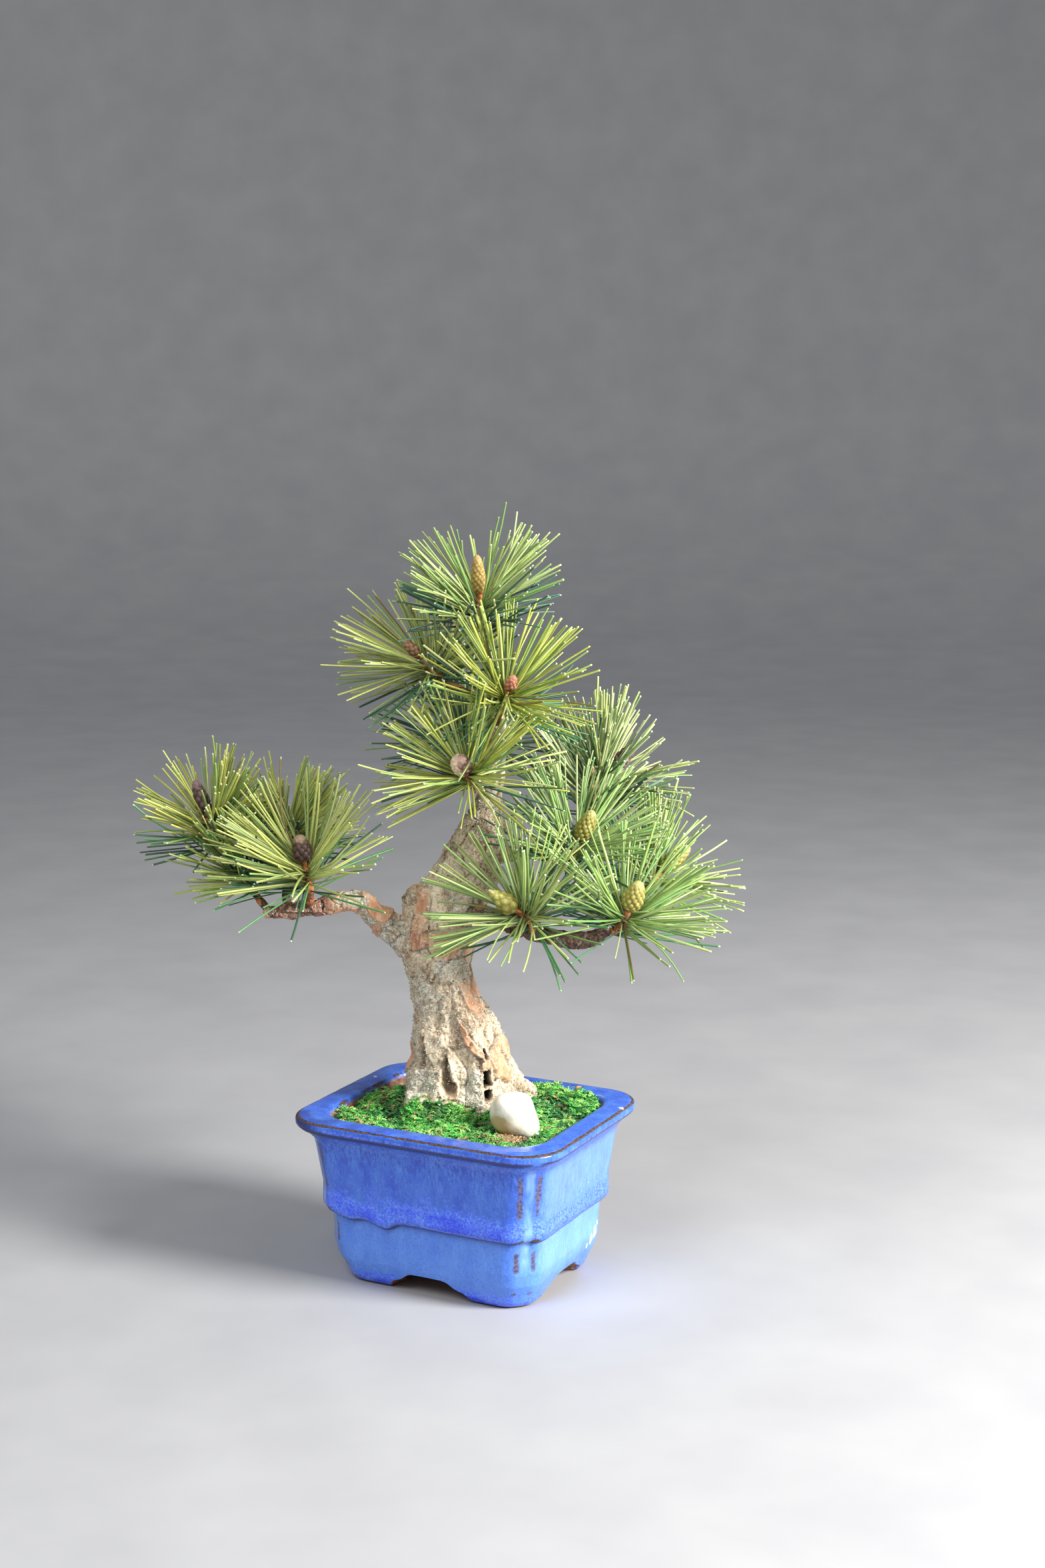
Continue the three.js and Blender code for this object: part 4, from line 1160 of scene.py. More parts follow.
# Half widths of a bud along its length.
BUD_STATIONS = [0, 0.02, 0.12, 0.28, 0.42, 0.6, 0.8, 0.94, 1]
BUD_OUTLINES = {
    "flame": [0.3, 0.6, 0.92, 1, 0.9, 0.66, 0.36, 0.14, 0.04],
    "cork": [0.4, 0.6, 0.86, 0.98, 1, 0.98, 0.86, 0.6, 0.3],
}
PLAIN_BUD_OUTLINE = [0.3, 0.5, 0.82, 0.98, 1, 0.88, 0.64, 0.4, 0.16]


def bud_axis(sprig):
    """Where a bud starts, and the way it runs."""
    way = unit(sprig.aim)
    return np.array(sprig.at) + way * KNOT, way


def bud_scales(kind, a, s, r, length, diameter):
    """For each point of a bud, how far it is from the middle of its scale, which scale that is,
    and how far above its middle it lies, in scale sizes."""
    count = BUD_KINDS[kind]["scales"]
    best = np.full(len(a), 9.0)
    own, lean = np.zeros(len(a), int), np.zeros(len(a))
    size = math.sqrt(math.pi * diameter * 0.75 * length / count)
    number = np.arange(count)
    for index, (turn, level) in enumerate(zip(number * GOLDEN_ANGLE, ((number + 0.5) / count) ** 0.9)):
        across = nearest_turn(a - turn) * np.maximum(r, 0.5)
        rise = (s - level) * length
        far = np.hypot(across, rise * 0.85) / size
        nearer = far < best
        best = np.where(nearer, far, best)
        own = np.where(nearer, index, own)
        lean = np.where(nearer, rise / size, lean)
    return best, own, lean


def bud(name, sprig, seed):
    length, diameter, kind = sprig.bud
    looks = BUD_KINDS[kind]
    is_dark = kind in ("dark", "mauve")
    rng = np.random.default_rng(seed)
    base, way = bud_axis(sprig)
    rows, sides = 90, 96
    share = np.linspace(0.004, 0.996, rows)
    radius = np.interp(share, BUD_STATIONS, BUD_OUTLINES.get(kind, PLAIN_BUD_OUTLINE)) * diameter / 2
    radius = np.convolve(np.r_[[radius[0]] * 3, radius, [radius[-1]] * 3], np.ones(7) / 7, "valid")
    a, s, r = np.tile(full_turn(sides), rows), np.repeat(share, sides), np.repeat(radius, sides)
    best, own, lean = bud_scales(kind, a, s, r, length, diameter)
    tone = rng.uniform(0, 1, looks["scales"])[own]
    if kind == "flame":
        dome = np.clip(1 - best / 0.75, 0, 1) * (1 + 0.9 * lean) * 1.3
    else:
        dome = np.clip(1 - (best / 0.62) ** 2, 0, 1) * (1 + 0.5 * lean)
    push = looks["lift"] * dome + 0.1 * noise(np.stack([a * r, s * length, 0 * a], -1), 0.8, seed)
    axis_a = unit(np.cross(way, [0.3, 0.2, 0.9]))
    axis_b = np.cross(way, axis_a)
    out = np.cos(a)[:, None] * axis_a + np.sin(a)[:, None] * axis_b
    points = base + way * (s * length)[:, None] + out * (r * 0.92 + push * np.clip(r / 1.5, 0.2, 1))[:, None]
    low, high, tip = (srgb(*looks[key]) for key in ("low", "high", "tip"))
    colour = blend(low, high, np.clip(dome * (0.55 + 0.6 * tone), 0, 1))
    # Painted glints: pale spots on the tops of some scales, stronger on the dark glossy buds.
    painted_glint = ease(dome, 1.0, 1.3) if is_dark else ease(dome, 1.05, 1.4) * 0.7
    colour = blend(colour, srgb(232, 224, 206), painted_glint * (tone > 0.45))
    colour = blend(colour, tip, ease(s, 0.78, 0.92) * (0.8 if is_dark or kind == "slim" else 0.4))
    colour = blend(colour, srgb(176, 96, 48), 0.7 * (1 - ease(s, 0.02, 0.14)))
    if kind == "cork":
        # One half is broken open to a tan corky inside, the other is mauve-brown.
        half = ease(-out[:, 0] + 0.25 * noise(points, 1.6, seed + 4), -0.15, 0.1) * ease(s, 0.05, 0.2)
        corky = srgb(252, 224, 188) * (0.9 + 0.3 * noise(points, 0.9, seed + 5))[:, None]
        colour = blend(colour, corky, half)
    ends = np.stack([base - 0.4 * way, base + way * (length + 0.1)])
    colour = np.concatenate([colour, colour[[0, -1]]])
    slot = "bud_green" if kind in ("yellow", "flame", "slim") else "bud_brown"
    placed = place(np.concatenate([points, ends]))
    make(f"cone_{name}", placed, skin(rows, sides), BUD, slot, [f"bud_{name}"], ownColour=colour)


def twig_path(sprig):
    at, root = np.array(sprig.at), np.array(sprig.root)
    way = unit(sprig.aim)
    end = at + way * (KNOT - 0.2 if sprig.bud else 2.5)
    low = at - way * KNOT
    bend = low - way * 0.2 * np.linalg.norm(low - root)
    waist = 0.6 * root + 0.4 * bend
    return [(*root, 1.7), (*waist, 1.55), (*bend, 1.45), (*low, 1.4), (*at, 1.45), (*end, 1.2)]


def twig(name, sprig, seed):
    def scaly(points, out, plate, crack_and_shade, pale):
        far = np.linalg.norm(points - np.array(sprig.at), axis=1)
        near = 1 - ease(far, 8, 22)
        plate = np.maximum(plate, 0.9 * near * ease(noise(points, 1.6, seed + 3), -0.5, 0.1))
        return 0.45 * near * noise(points, 1.3, seed + 5), plate, crack_and_shade * (1 - 0.6 * near), pale * 0.4

    sides, rows = 30, 110
    points, ends, _, masks = limb(twig_path(sprig), sides, rows, 0.22, 0.2, seed, scaly, 1.4)
    masks["hole_shadow"] = np.zeros(len(points))
    finish_bark(f"stem_{name}", f"twig_{name}", TWIG, "bark_dark", sides, points, ends, **masks)


def obstacles():
    """Rods for what needles must not run through, in tree coordinates: their ends, the radius at
    each end, and the sprig whose needles may pass."""
    rods = []
    for low, high in zip(TRUNK, TRUNK[1:]):
        radii = [0.5 * (row[3] + row[4]) for row in (low, high)]
        rods.append((low[1:3] + low[:1], high[1:3] + high[:1], *radii, None))
    for stations in BRANCHES.values():
        for low, high in zip(stations, stations[1:]):
            rods.append((low[:3], high[:3], low[3], high[3], None))
    for name, sprig in SPRIGS.items():
        path = twig_path(sprig)
        for low, high in zip(path, path[1:]):
            rods.append((low[:3], high[:3], low[3] * 0.8, high[3] * 0.8, name))
        if sprig.bud:
            base, way = bud_axis(sprig)
            length, diameter, _ = sprig.bud
            middle, tip = base + way * 0.45 * length, base + way * length
            rods.append((base + way, middle, diameter * 0.42, diameter * 0.55, ""))
            rods.append((middle, tip, diameter * 0.55, diameter * 0.2, ""))
    starts, ends, start_radii, end_radii, owners = zip(*rods)
    return np.array(starts, float), np.array(ends, float), np.array(start_radii), np.array(end_radii), owners


ROD_A, ROD_B, ROD_RA, ROD_RB, ROD_OWNER = obstacles()


def blocked(paths, name):
    """Which of the paths run into wood or a bud, their own twig left out."""
    use = np.array([owner != name for owner in ROD_OWNER])
    a, b, ra, rb = ROD_A[use], ROD_B[use], ROD_RA[use], ROD_RB[use]
    run = b - a
    points = paths[:, 2:]
    t = np.einsum("nsc,rc->nsr", points, run) - np.einsum("rc,rc->r", a, run)
    t = np.clip(t / np.einsum("rc,rc->r", run, run), 0, 1)
    near = a + t[..., None] * run
    gap = np.linalg.norm(points[:, :, None] - near, axis=-1) - (ra + t * (rb - ra))
    return (gap < 0.5).any((1, 2))


def hides_bud(paths, sprig):
    """Which needles would hide the bud from the best side."""
    if not sprig.bud:
        return np.zeros(len(paths), bool)
    way = unit(sprig.aim)
    length, diameter, _ = sprig.bud
    base = np.array(sprig.at) + way * (KNOT + 1)
    run = way * (length - 1)
    flat, start, along = paths[..., [0, 2]], base[[0, 2]], run[[0, 2]]
    t = np.clip(((flat - start) @ along) / (along @ along), 0, 1)
    gap = np.linalg.norm(flat - start - t[..., None] * along, axis=-1)
    before = paths[..., 1] > base[1] + t * run[1]
    return ((gap < 0.55 * diameter) & before).any(1)


NEEDLE_STATIONS = np.array([0, 0.06, 0.2, 0.4, 0.6, 0.8, 0.981, 1.0])
NEEDLE_TAPER = np.interp(NEEDLE_STATIONS, [0, 0.04, 0.3, 0.9, 1], [0.6, 0.8, 1, 0.95, 0.88])
NEEDLE_SIDES = 6
NEEDLE_RADIUS = 0.51
MOST_DRAWS = 12  # rounds of drawing needles until a tuft is full
KEPT_OFF_BUD = 0.97  # share of the needles that would hide the bud
LIMP_SHARE, STRAY_SHARE, DRIED_SHARE = 0.07, 0.012, 0.012


def draw_needles(rng, sprig, count, tilts, along, length):
    """Needles in pairs: mates leave the same place at nearly the same angle."""
    way = unit(sprig.aim)
    axis_a = unit(np.cross(way, [0.31, 0.22, 0.93]))
    axis_b = np.cross(way, axis_a)
    pairs = (count + 1) // 2
    cosine = rng.uniform(math.cos(math.radians(tilts[1])), math.cos(math.radians(tilts[0])), pairs)
    tilt = np.repeat(np.arccos(cosine), 2)[:count] + np.radians(rng.normal(0, 2.8, count))
    turn = np.repeat(rng.uniform(0, 2 * math.pi, pairs), 2)[:count] + np.radians(rng.normal(0, 4, count))
    start = np.repeat(rng.uniform(*along, pairs), 2)[:count] + rng.normal(0, 0.3, count)
    out = np.cos(turn)[:, None] * axis_a + np.sin(turn)[:, None] * axis_b
    heading = np.cos(tilt)[:, None] * way + np.sin(tilt)[:, None] * out
    reach = rng.normal(length, 1.6, count) * rng.choice([1, 1, 1, 1, 0.94, 0.86], count)
    limp = np.where(rng.uniform(0, 1, count) < LIMP_SHARE, 3.5, 1.0)[:, None]
    inward = 0.05 * out * np.sin(tilt)[:, None]
    bow = rng.normal(size=(count, 3)) * 0.05 * limp + np.array([0, 0, -0.02]) - inward
    bow = bow - (bow * heading).sum(-1, keepdims=True) * heading
    s = NEEDLE_STATIONS
    line = heading[:, None] * s[None, :, None] + bow[:, None] * (s * s)[None, :, None]
    paths = np.array(sprig.at) + way * start[:, None] + 0.6 * out + rng.normal(0, 0.45, (count, 3))
    return paths[:, None] + line * reach[:, None, None], heading


def needle_paths(rng, name, sprig):
    """Middle lines of a tuft's needles, and which of them are old ones low on the twig."""
    # Angles from the aim, places along the twig, count, length, whether they are old.
    spread = sprig.spread
    groups = [
        ((sprig.opening, 0.62 * spread), (-3.5, 2.5), 70, 42.5, False),
        ((0.5 * spread, spread), (-7.0, -0.5), 76, 41.5, False),
        ((0.75 * spread, spread + 14), (-11.0, -4.0), 40, 40, True),
    ]
    paths, old = [], []
    for tilts, along, count, length, is_old in groups:
        count = round(count * sprig.density)
        lower_limit = sprig.fall + is_old * (0.1 if sprig.fall < -0.35 else -0.1)
        kept = []
        for _ in range(MOST_DRAWS):
            drawn, heading = draw_needles(rng, sprig, count * 2, tilts, along, length * sprig.length)
            size = len(drawn)
            hiding = hides_bud(drawn, sprig) & (rng.uniform(0, 1, size) < KEPT_OFF_BUD)
            wanted = rng.uniform(0, 1, size) < 0.6 + heading @ np.array(sprig.lean)
            lowest = lower_limit - 0.15 * rng.uniform(0, 1, size) ** 2
            stray = rng.uniform(0, 1, size) < STRAY_SHARE
            good = ~blocked(drawn, name) & ~hiding & wanted & (heading[:, 2] > lowest - 0.4 * stray)
            kept.append(drawn[good])
            if sum(len(batch) for batch in kept) >= count:
                break
        kept = np.concatenate(kept)[:count]
        paths.append(kept)
        old.append(np.full(len(kept), is_old))
    return np.concatenate(paths), np.concatenate(old)


def needles(name, sprig, seed):
    rng = np.random.default_rng(seed)
    paths, old = needle_paths(rng, name, sprig)
    count = len(paths)
    wide = rng.normal(NEEDLE_RADIUS, 0.05, count)[:, None] * NEEDLE_TAPER
    way = unit(rng.normal(size=(count, 3)))
    points, faces, per = tubes(paths, wide, wide * 0.72, way, NEEDLE_SIDES, 0.12)
    tone = rng.uniform(0, 1, count)
    mixed = rng.uniform(0, 1, count)
    colour = np.where(old[:, None], srgb(*sprig.lower), srgb(*sprig.upper))
    colour = blend(colour, srgb(92, 150, 84), (mixed > 0.8) * 0.6 * ~old)
    colour = blend(colour, srgb(44, 78, 74), (mixed > 0.6) * 0.7 * old)
    colour = blend(colour, srgb(212, 222, 160), (mixed < 0.2) * 0.5 * ~old)
    dried = rng.uniform(0, 1, count) < DRIED_SHARE
    colour = np.where(dried[:, None], srgb(126, 110, 52), colour)
    colour = np.repeat(colour * (0.6 + 0.62 * tone)[:, None], per, 0)
    along = np.tile(np.r_[np.repeat(NEEDLE_STATIONS, NEEDLE_SIDES), 0, 1], count)
    colour = colour * (0.62 + 0.38 * ease(along, 0.0, 0.45))[:, None]
    tip = ease(along, 0.982, 0.998) * np.repeat(rng.uniform(0, 0.95, count), per)
    nodes = [f"needles_{name}"] if name in SPRIGS else []
    make(f"tuft_{name}", place(points), faces, NEEDLE, "needles", nodes, ownColour=colour, tip=tip)


def twig_scales():
    """Orange-brown bud scales along the ends of the twigs, and tan fuzz under one bud."""
    scales, fuzz = 26, 260
    rng = np.random.default_rng(55)
    parts, colours = [], []
    for sprig in SPRIGS.values():
        path = resample(twig_path(sprig), [0, 1, 2], 0.5, 1.4)[-60:-6]
        out = unit(rng.normal(size=(len(path), 3)))
        spots = path[:, :3] + out * path[:, 3:]
        parts.append(chips(rng, spots, out, np.ones(len(path)), scales, (1.4, 3.0), (0.7, 1.3), 0.3))
        colours.append(blend(srgb(116, 64, 36), srgb(204, 128, 74), rng.uniform(0, 1, scales)))
    at, aim, *_ = SPRIGS["left_outer"]
    out = unit(rng.normal(size=(fuzz, 3)))
    ball = np.array(at) + unit(aim) * (KNOT - 1.2) + out * rng.uniform(1.6, 2.9, (fuzz, 1)) * [1.2, 1, 0.7]
    parts.append(chips(rng, ball, out, np.ones(fuzz), fuzz, (0.6, 1.7), (0.2, 0.5), 0.2))
    colours.append(blend(srgb(150, 104, 52), srgb(224, 184, 122), rng.uniform(0, 1, fuzz)))
    points, faces = join(parts)
    make_chips("twig_scales", FLAKE, "bark_dark", place(points), faces, np.concatenate(colours))


twig_scales()
for number, (name, sprig) in enumerate(SPRIGS.items()):
    twig(name, sprig, 1000 + 20 * number)
    if sprig.bud:
        bud(name, sprig, 2000 + number)
    needles(name, sprig, 3000 + number)
needles("left_low", LEFT_LOW, 3100)

# ------------------------------------------------------------------ moss, soil and stones

STONE_AT, PEBBLE_AT = np.array([22, 27, 80.5]), np.array([50.5, -19, 78.6])
BARE_PATCH = (17.0, 37.0)
BARE_PATCH_HALF = (7, 4)
MAT_INSET = 14.2
MAT_BOTTOM = 65.4
MAT_DEPTH = 1.6  # from the tops of the moss down to the mat
FROND_PIECES, FRONDS_EACH, THREADS = 6, 767, 1500
THREAD_COLOURS = [(86, 180, 82), (132, 200, 96), (176, 212, 120), (34, 130, 90), (178, 166, 110)]
THREAD_SHARES = [0.3, 0.3, 0.18, 0.12, 0.1]
STONE_OUTLINE = [
    (-8.6, 7.6), (-6, 9), (-1, 9.6), (4.6, 9.4), (6.8, 7.8), (8.2, 4), (9.3, 0.6), (10.4, -2.8), (11.3, -6),
    (10.4, -8.2), (7.1, -9.2), (1.4, -9.7), (-2.4, -9.0), (-7.1, -6.8), (-10, -3.5), (-11, 1), (-10.6, 4.2),
]
PEBBLE_OUTLINE = [
    (1.7, 0), (1.1, 1.1), (-0.2, 1.3), (-1.4, 0.9), (-1.7, -0.2), (-1.0, -1.1), (0.4, -1.3), (1.3, -0.9),
]
# Flat faces of a stone: the way each looks, and how far out it lies in half depths.
STONE_FACES = [
    ((0.15, 0.5, 0.86), 0.96),
    ((-0.55, 0.8, 0.1), 1.02),
    ((0.6, 0.78, 0.05), 1.0),
    ((0.95, 0.1, 0.3), 1.02),
    ((-0.1, 0.8, -0.6), 1.0),
]
FACE_SHARPNESS = 9


def moss_top(x, y):
    trunk_x, trunk_y, _ = place((0, -8, 0))
    mound = 5 * bell(np.hypot(x - trunk_x, y - trunk_y), 0, 38)
    dip = 6.5 * bell(np.hypot(x + 65, y - 53.7), 0, 42)
    swell = 4.7 * bell(np.hypot(x - 37, y - 39.7), 0, 22)
    u, v = tree_uv(x, y)
    # It is heaped against the foot of the trunk, most on the left.
    gap = 22 * (np.hypot((u + 1) / 25.5, (v + 8) / 20) - 1)
    heap = bell(gap, 0.5, 7) * (2.2 + 4.2 * (1 - ease(u, -12, 2)) - 2.2 * bell(u, 6, 7) * ease(v, 0, 8))
    return 73 + mound + swell - dip + heap


def moss_lumps(spot):
    flat = np.c_[spot, np.zeros(len(spot))]
    return 2.3 * noise(flat, 8, 631) + 0.9 * noise(flat, 3.2, 632)


def moss_mat():
    edge = pot_ring(ring_samples(), 0, MAT_INSET, 15)[:, :2]
    count = len(edge)
    rings = [np.c_[edge * 0.99, np.full(count, height)] for height in (MAT_BOTTOM, 68.0)]
    for scale in np.linspace(1, 0.02, 110) ** 0.8:
        x, y = (edge * scale).T
        rings.append(np.c_[x, y, moss_top(x, y) - MAT_DEPTH - 2.2 * (scale > 0.995)])
    points = np.concatenate(rings)
    top = np.arange(len(points)) >= 2 * count
    bumps = moss_lumps(points[:, :2]) + 0.7 * rough(points, 2.6, 611, 3, 0.6)
    points[:, 2] = points[:, 2] + np.where(top, bumps, 0)
    points = np.concatenate([points, [(0, 0, MAT_BOTTOM), (0, 0, float(moss_top(0, 0)) - MAT_DEPTH)]])
    # Painted shade: the mat is darker in its hollows and lighter on its lumps.
    colour = blend(srgb(14, 62, 34), srgb(70, 156, 66), ease(np.r_[bumps, 0, 0], -1.2, 1.4))
    tan_bits = ease(noise(points, 3.4, 617), 0.45, 0.6)
    colour = blend(colour, srgb(140, 112, 74), 0.7 * tan_bits)
    make("moss_mat", points, skin(len(rings), count), MOSS, "moss", ["moss"], ownColour=colour)


def moss_places(rng, count):
    """Places for moss on the pot's axes, clear of the trunk, the stones and the bare patch."""
    kept = []
    while sum(len(batch) for batch in kept) < count:
        x = rng.uniform(-51, 51, 3 * count)
        y = rng.uniform(-39.8, 39.8, 3 * count)
        u, v = tree_uv(x, y)
        corner = np.hypot(np.maximum(np.abs(x) - 37, 0), np.maximum(np.abs(y) - 25.8, 0)) < 14.4
        wood = np.hypot((u + 1) / 24, (v + 8) / 18.5) > 1
        stone = np.hypot((u - STONE_AT[0]) / 10.2, (v - STONE_AT[1]) / 8.2) > 1
        bare = np.hypot((u - BARE_PATCH[0]) / BARE_PATCH_HALF[0], (v - BARE_PATCH[1]) / BARE_PATCH_HALF[1])
        clear = corner & wood & stone & (bare + 0.4 * rng.uniform(size=len(x)) > 1.1)
        kept.append(np.stack([x[clear], y[clear]], -1))
    return np.concatenate(kept)[:count]


def direction(heading, rise):
    return np.stack([np.cos(rise) * np.cos(heading), np.cos(rise) * np.sin(heading), np.sin(rise)], -1)


def frond_spines(rng, spot, lift, steps):
    """Curved stalks of moss: their points, the way of each step, and their lengths."""
    count = len(spot)
    heading = rng.uniform(0, 2 * math.pi, count)
    rise = np.radians(rng.uniform(5, 62, count))
    curl = np.radians(rng.normal(0, 26, count))
    droop = np.radians(rng.uniform(6, 24, count))
    length = rng.uniform(2.8, 6.4, count)
    path = [np.c_[spot, moss_top(*spot.T) - 2.2 + lift + rng.uniform(-0.6, 1.0, count)]]
    ways = [direction(heading + k * curl, rise - k * droop) for k in range(steps - 1)]
    for way in ways:
        path.append(path[-1] + way * (length / (steps - 1))[:, None])
    return np.stack(path, 1), ways, length


def moss_fronds(name, count, seed):
    """Feathery fronds: a spine each, with a pair of leaves at every step."""
    steps = 7
    rng = np.random.default_rng(seed)
    spot = moss_places(rng, count)
    lift = moss_lumps(spot)
    path, ways, length = frond_spines(rng, spot, lift, steps)
    thickness = np.linspace(0.24, 0.12, steps) * rng.uniform(0.8, 1.3, count)[:, None]
    spine, faces, per = tubes(path, thickness, thickness, np.tile([0.2, 0.1, 1.0], (count, 1)), 4, 0.05)
    hue = rng.uniform(0, 1, count)
    # Painted light and shade: fronds high on the lumps are lighter and greener, those low between them darker
    # blue-green. The pale yellow-green tone is real variety, but is shown most on the lumps as painted light.
    patch = ease(lift, -1.2, 1.3)
    green = np.clip(0.15 + 0.85 * patch + 0.6 * (hue - 0.5), 0, 1)
    colour = blend(srgb(12, 98, 62), srgb(104, 208, 88), green)
    colour = blend(colour, srgb(214, 238, 146), np.clip((hue - 0.5) * 2, 0, 1) * (0.25 + 0.6 * patch))
    dry = rng.uniform(0, 1, count) < 0.05
    colour = np.where(dry[:, None], srgb(186, 160, 110), colour)
    parts, colours = [(spine, faces)], [np.repeat(colour, per, 0)]
    for k in range(1, steps - 1):
        for sign in (-1, 1):
            way = ways[k]
            flat = unit(np.cross(way, [0.0, 0.0, 1.0]))
            out = unit(0.65 * way + sign * 0.8 * flat + [0, 0, 0.35] + 0.25 * rng.normal(size=way.shape))
            reach = (length * rng.uniform(0.2, 0.42, count) * (1.15 - k / steps))[:, None]
            middle = path[:, k] + out * reach * 0.55
            leaf = np.stack([path[:, k], middle, middle + unit(out + 0.7 * way) * reach * 0.5], 1)
            across = np.broadcast_to([0.3, 0.42, 0.14], (count, 3))
            points, faces, per = tubes(leaf, across, across * 0.5, unit(rng.normal(size=(count, 3))), 3)
            parts.append((points, faces))
            colours.append(np.repeat(colour * rng.uniform(0.8, 1.3, (count, 1)), per, 0))
    points, faces = join(parts)
    make(name, points, faces, MOSS, "moss", ownColour=np.concatenate(colours))


def moss_threads(name, count, seed):
    """Fine curly strands tangled over the rest."""
    steps = 10
    rng = np.random.default_rng(seed)
    spot = moss_places(rng, count)
    heading = rng.uniform(0, 2 * math.pi, count)
    curl = rng.normal(0, 0.5, count)
    rise = rng.uniform(-0.2, 1.2, count)
    path = [np.c_[spot, moss_top(*spot.T) + moss_lumps(spot) + rng.uniform(-2.2, 0.2, count)]]
    reach = rng.uniform(0.3, 0.9, count)
    for _ in range(steps - 1):
        path.append(path[-1] + direction(heading, rise) * reach[:, None])
        heading = heading + curl + rng.normal(0, 0.25, count)
        rise = rise - rng.uniform(0.05, 0.4, count)
    thick = np.linspace(1, 0.5, steps) * rng.uniform(0.08, 0.15, count)[:, None]
    side = np.tile([0.2, 0.1, 1.0], (count, 1))
    points, faces, per = tubes(np.stack(path, 1), thick, thick, side, 4, 0.1)
    shades = np.array([srgb(*levels) for levels in THREAD_COLOURS])
    colour = shades[rng.choice(len(shades), count, p=THREAD_SHARES)] * rng.uniform(0.7, 1.2, (count, 1))
    make(name, points, faces, MOSS, "moss", ownColour=np.repeat(colour, per, 0))


def crumbs():
    """Loose tan soil in the bare patch before the stone, and bits of it along the rim."""
    in_patch, along_rim = 900, 260
    rng = np.random.default_rng(77)
    spot = rng.normal(size=(in_patch, 2)) * [3.6, 2.0] + BARE_PATCH
    patch = place(np.c_[spot, np.zeros(in_patch)])[:, :2]
    share, stops = rng.uniform(0, 1, along_rim), [0, 0.3, 1]
    rim = np.c_[np.interp(share, stops, [-50, -50, -20]), np.interp(share, stops, [5, 38, 39])]
    xy = np.concatenate([patch, rim + rng.normal(size=(along_rim, 2))])
    xy = np.clip(xy, MAT_INSET - POT_HALF, POT_HALF - MAT_INSET)
    count = len(xy)
    centre = np.c_[xy, moss_top(*xy.T) - 0.9 + rng.uniform(-0.4, 0.7, count)]
    up = np.tile([0.0, 0.0, 1.0], (count, 1))
    points, faces = chips(rng, centre, up, np.ones(count), count, (0.8, 1.9), (0.6, 1.4), 0.8)
    colour = blend(srgb(112, 84, 58), srgb(206, 172, 130), rng.uniform(0, 1, count))
    make_chips("soil_crumbs", CRUMB, "soil", points, faces, colour)


def outline_radius(outline, turn):
    """A softened outline's distance from the middle at the given angles, and its corners' mean."""
    outline = np.array(outline, float)
    corner = np.arctan2(outline[:, 1], outline[:, 0])
    order = np.argsort(corner)
    corner, far = corner[order], np.hypot(*outline[order].T)
    fine = np.linspace(-math.pi, math.pi, 361)[:-1]
    radius = np.interp(fine, corner, far, period=2 * math.pi)
    kernel = np.exp(-(np.linspace(-2, 2, 25) ** 2))
    radius = np.convolve(np.r_[radius[-12:], radius, radius[:12]], kernel / kernel.sum(), "valid")
    return np.interp(turn, fine, radius, period=2 * math.pi), radius.mean(), far.mean()


def pebble(name, node, at, outline, depth, paint, slot, rows, seed):
    """A stone with the given outline from the best side, cut by flat faces."""
    sides = 2 * rows
    a = np.tile(full_turn(sides), rows)
    p = np.repeat(np.linspace(0.02, math.pi - 0.02, rows), sides)
    # The poles are at the front and the back.
    ball = np.stack([np.sin(p) * np.cos(a), np.cos(p), np.sin(p) * np.sin(a)], -1)
    ball = np.concatenate([ball, [(0, 1, 0), (0, -1, 0)]])
    across = ball[:, 1]
    level = np.sign(across) * (1 - (1 - np.abs(across)) ** 1.15)
    round_out = (1 - np.abs(level) ** 2.5) ** (1 / 2.5)
    turn = np.arctan2(ball[:, 2], ball[:, 0])
    shape = np.stack([np.cos(turn) * round_out, level, np.sin(turn) * round_out], -1)
    scale, mean_radius, mean_corner = outline_radius(outline, turn)
    scale = scale * 1.01
    # The silhouette's corners fade toward the front and the back.
    flat = np.hypot(shape[:, 0], shape[:, 2])
    scale = scale + (mean_radius - scale) * (1 - ease(flat, 0.2, 0.9)) * 0.6
    points = shape * np.stack([scale, np.full(len(scale), depth), scale], -1)
    dent = bell(shape[:, 0], 0.15, 0.35) * ease(shape[:, 2], 0.6, 0.95) * bell(shape[:, 1], 0.3, 0.5)
    points[:, 2] = points[:, 2] - 0.09 * mean_corner * dent
    size = np.linalg.norm(points, axis=1)
    way = points / size[:, None]
    blunt = size ** -float(FACE_SHARPNESS)
    for face, far in STONE_FACES:
        blunt = blunt + (np.clip(way @ unit(face), 0, 1) / (far * depth)) ** FACE_SHARPNESS
    points = way * (blunt ** (-1 / FACE_SHARPNESS) * 1.03)[:, None]
    points = points * (1 + 0.022 * rough(ball * 10, 9, seed, 3))[:, None] + at
    x, y, z = ball.T
    stain = 1.5 * bell(x, -0.6, 0.45) * (1 - ease(z, -0.1, 0.35)) * ease(y, -0.4, 0.2)
    stain = stain + 0.4 * bell(z, -0.9, 0.25) + 0.5 * bell(x, -0.75, 0.3) * ease(y, -0.3, 0.3)
    make(name, place(points), skin(rows, sides), paint, slot, [node], stain=stain)


moss_mat()
for part in range(FROND_PIECES):
    moss_fronds(f"moss_fronds_{part + 1}", FRONDS_EACH, 4100 + part)
moss_threads("moss_threads", THREADS, 4200)
crumbs()
pebble("stone_white", "white_stone", STONE_AT, STONE_OUTLINE, 8.6, STONE, "stone", 80, 711)
pebble("pebble_tan", "tan_pebble", PEBBLE_AT, PEBBLE_OUTLINE, 1.4, PEBBLE, "pebble", 30, 713)

# ------------------------------------------------------------------ floor, light and camera

EYE = np.array([475.1, -882.6, 392.6])
CAMERA_RISE = math.radians(9.65)
LENS, SENSOR_WIDTH = 53.57, 36
LAMP_TARGET = np.array([0, 0, 160])


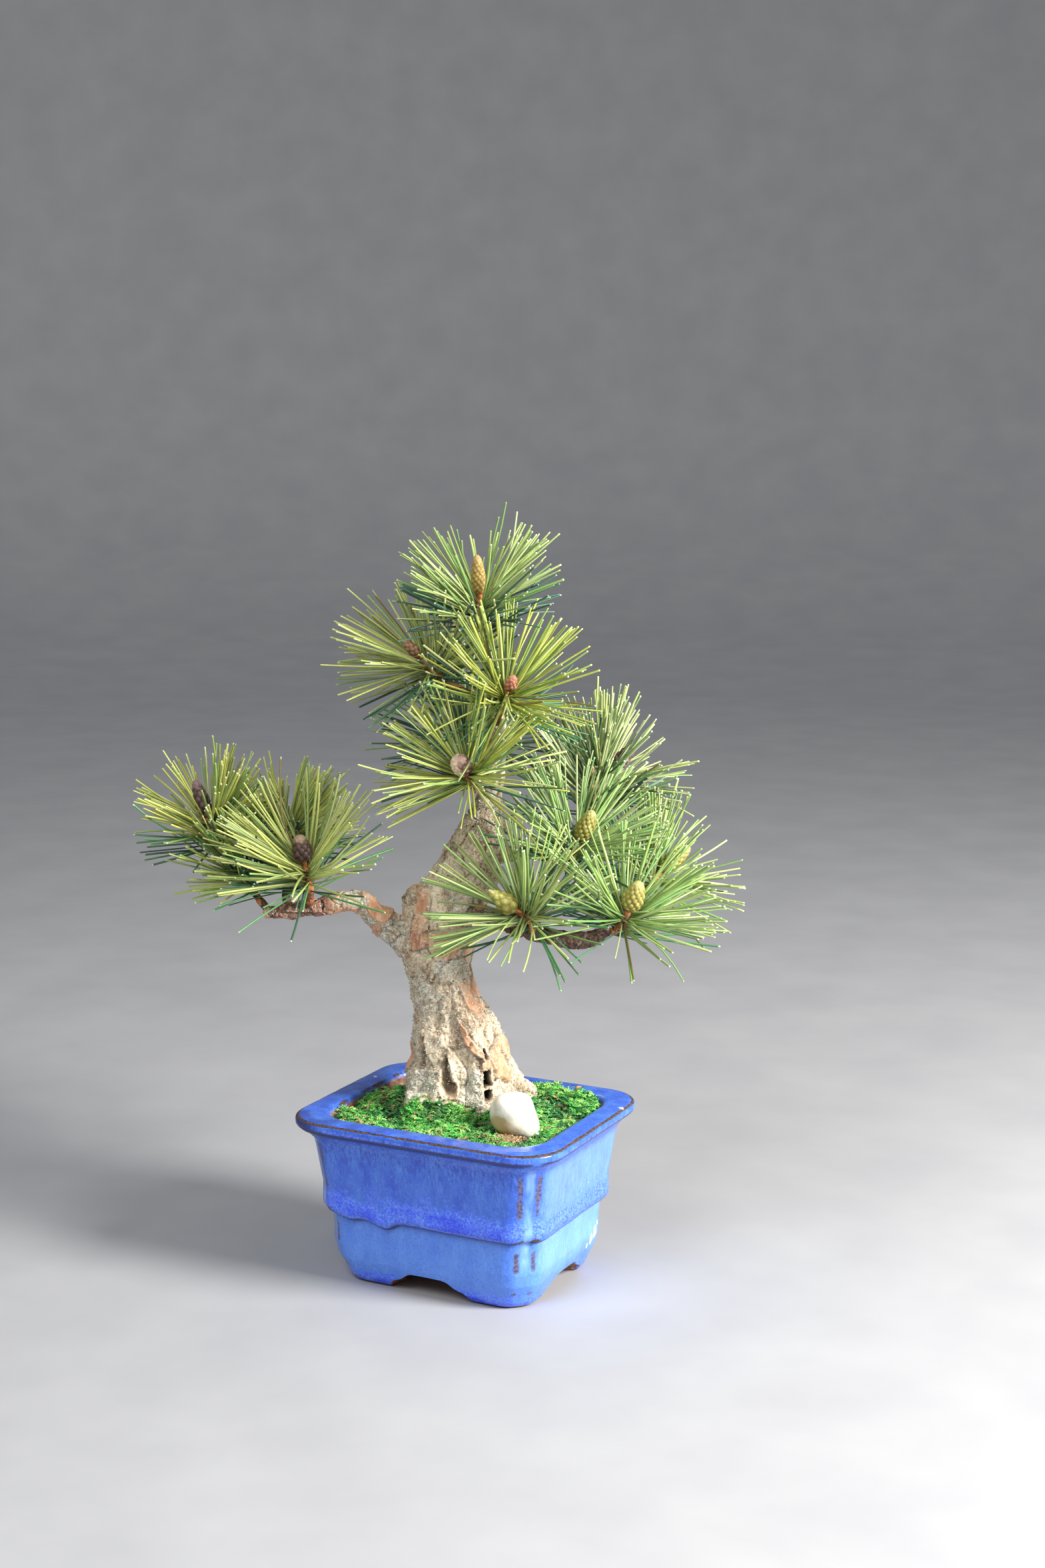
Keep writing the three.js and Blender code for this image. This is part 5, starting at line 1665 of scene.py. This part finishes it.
def studio_floor():
    """A round floor that turns up into a wall far from the pot. Its outline is in metres."""
    p = Paint("floor", Roughness=0.7)
    paint = p.done(p.patches(p.noise(60), 0.3, 0.7, srgb(172, 172, 175), srgb(180, 180, 182)))
    sides = 96
    radii = [0.01, 0.3, 0.8, 1.4, 2.0, 2.4, 2.7, 2.9, 3.0, 3.05, 3.07]
    heights = [0, 0, 0, 0, 0, 0.04, 0.15, 0.35, 0.7, 1.1, 1.5]
    a = full_turn(sides)
    rings = [np.stack([r * np.cos(a), r * np.sin(a), np.full(sides, h)], -1) for r, h in zip(radii, heights)]
    points = np.concatenate([*rings, [(0, 0, 0)]]) * METRE - POT_MIDDLE
    k = np.arange(sides)
    centre = np.stack([np.full(sides, len(points) - 1), k, (k + 1) % sides], -1)
    floor = make("floor", points, [grid_faces(len(rings), sides), centre], paint, None)


def lamp(name, way, far, size, power, colour):
    """A round lamp that lights the tree against the given way."""
    light = bpy.data.lights.new(name, "AREA")
    light.shape = "DISK"
    light.size = size
    light.energy = power
    light.color = colour
    made = bpy.data.objects.new(name, light)
    way = place(unit(way))
    made.location = (way * far + LAMP_TARGET + POT_MIDDLE) / METRE
    made.rotation_euler = Vector(way).to_track_quat("Z", "Y").to_euler()
    bpy.context.scene.collection.objects.link(made)


def studio_light():
    world = bpy.data.worlds.new("studio")
    world.use_nodes = True
    sky = world.node_tree.nodes["Background"].inputs
    sky["Color"].default_value = (0.92, 0.95, 1.0, 1)
    sky["Strength"].default_value = 0.3
    bpy.context.scene.world = world
    lamp("key", (0.80, 0.42, 0.42), 1250, 0.42, 38, (1.0, 0.985, 0.95))
    lamp("fill", (-0.38, 0.62, 0.75), 1400, 0.8, 9.5, (0.96, 0.98, 1.0))


def camera():
    level = math.cos(CAMERA_RISE)
    back = np.array([math.sin(TURN) * level, -math.cos(TURN) * level, math.sin(CAMERA_RISE)])
    right = np.array([math.cos(TURN), math.sin(TURN), 0])
    axes = np.stack([right, np.cross(back, right), back], 1)
    data = bpy.data.cameras.new("camera")
    data.lens = LENS
    data.sensor_width = SENSOR_WIDTH
    made = bpy.data.objects.new("camera", data)
    made.matrix_world = Matrix.Translation((EYE + POT_MIDDLE) / METRE) @ Matrix(axes.tolist()).to_4x4()
    bpy.context.scene.collection.objects.link(made)
    bpy.context.scene.camera = made


studio_floor()
studio_light()
camera()
bpy.context.scene.view_settings.view_transform = "Standard"
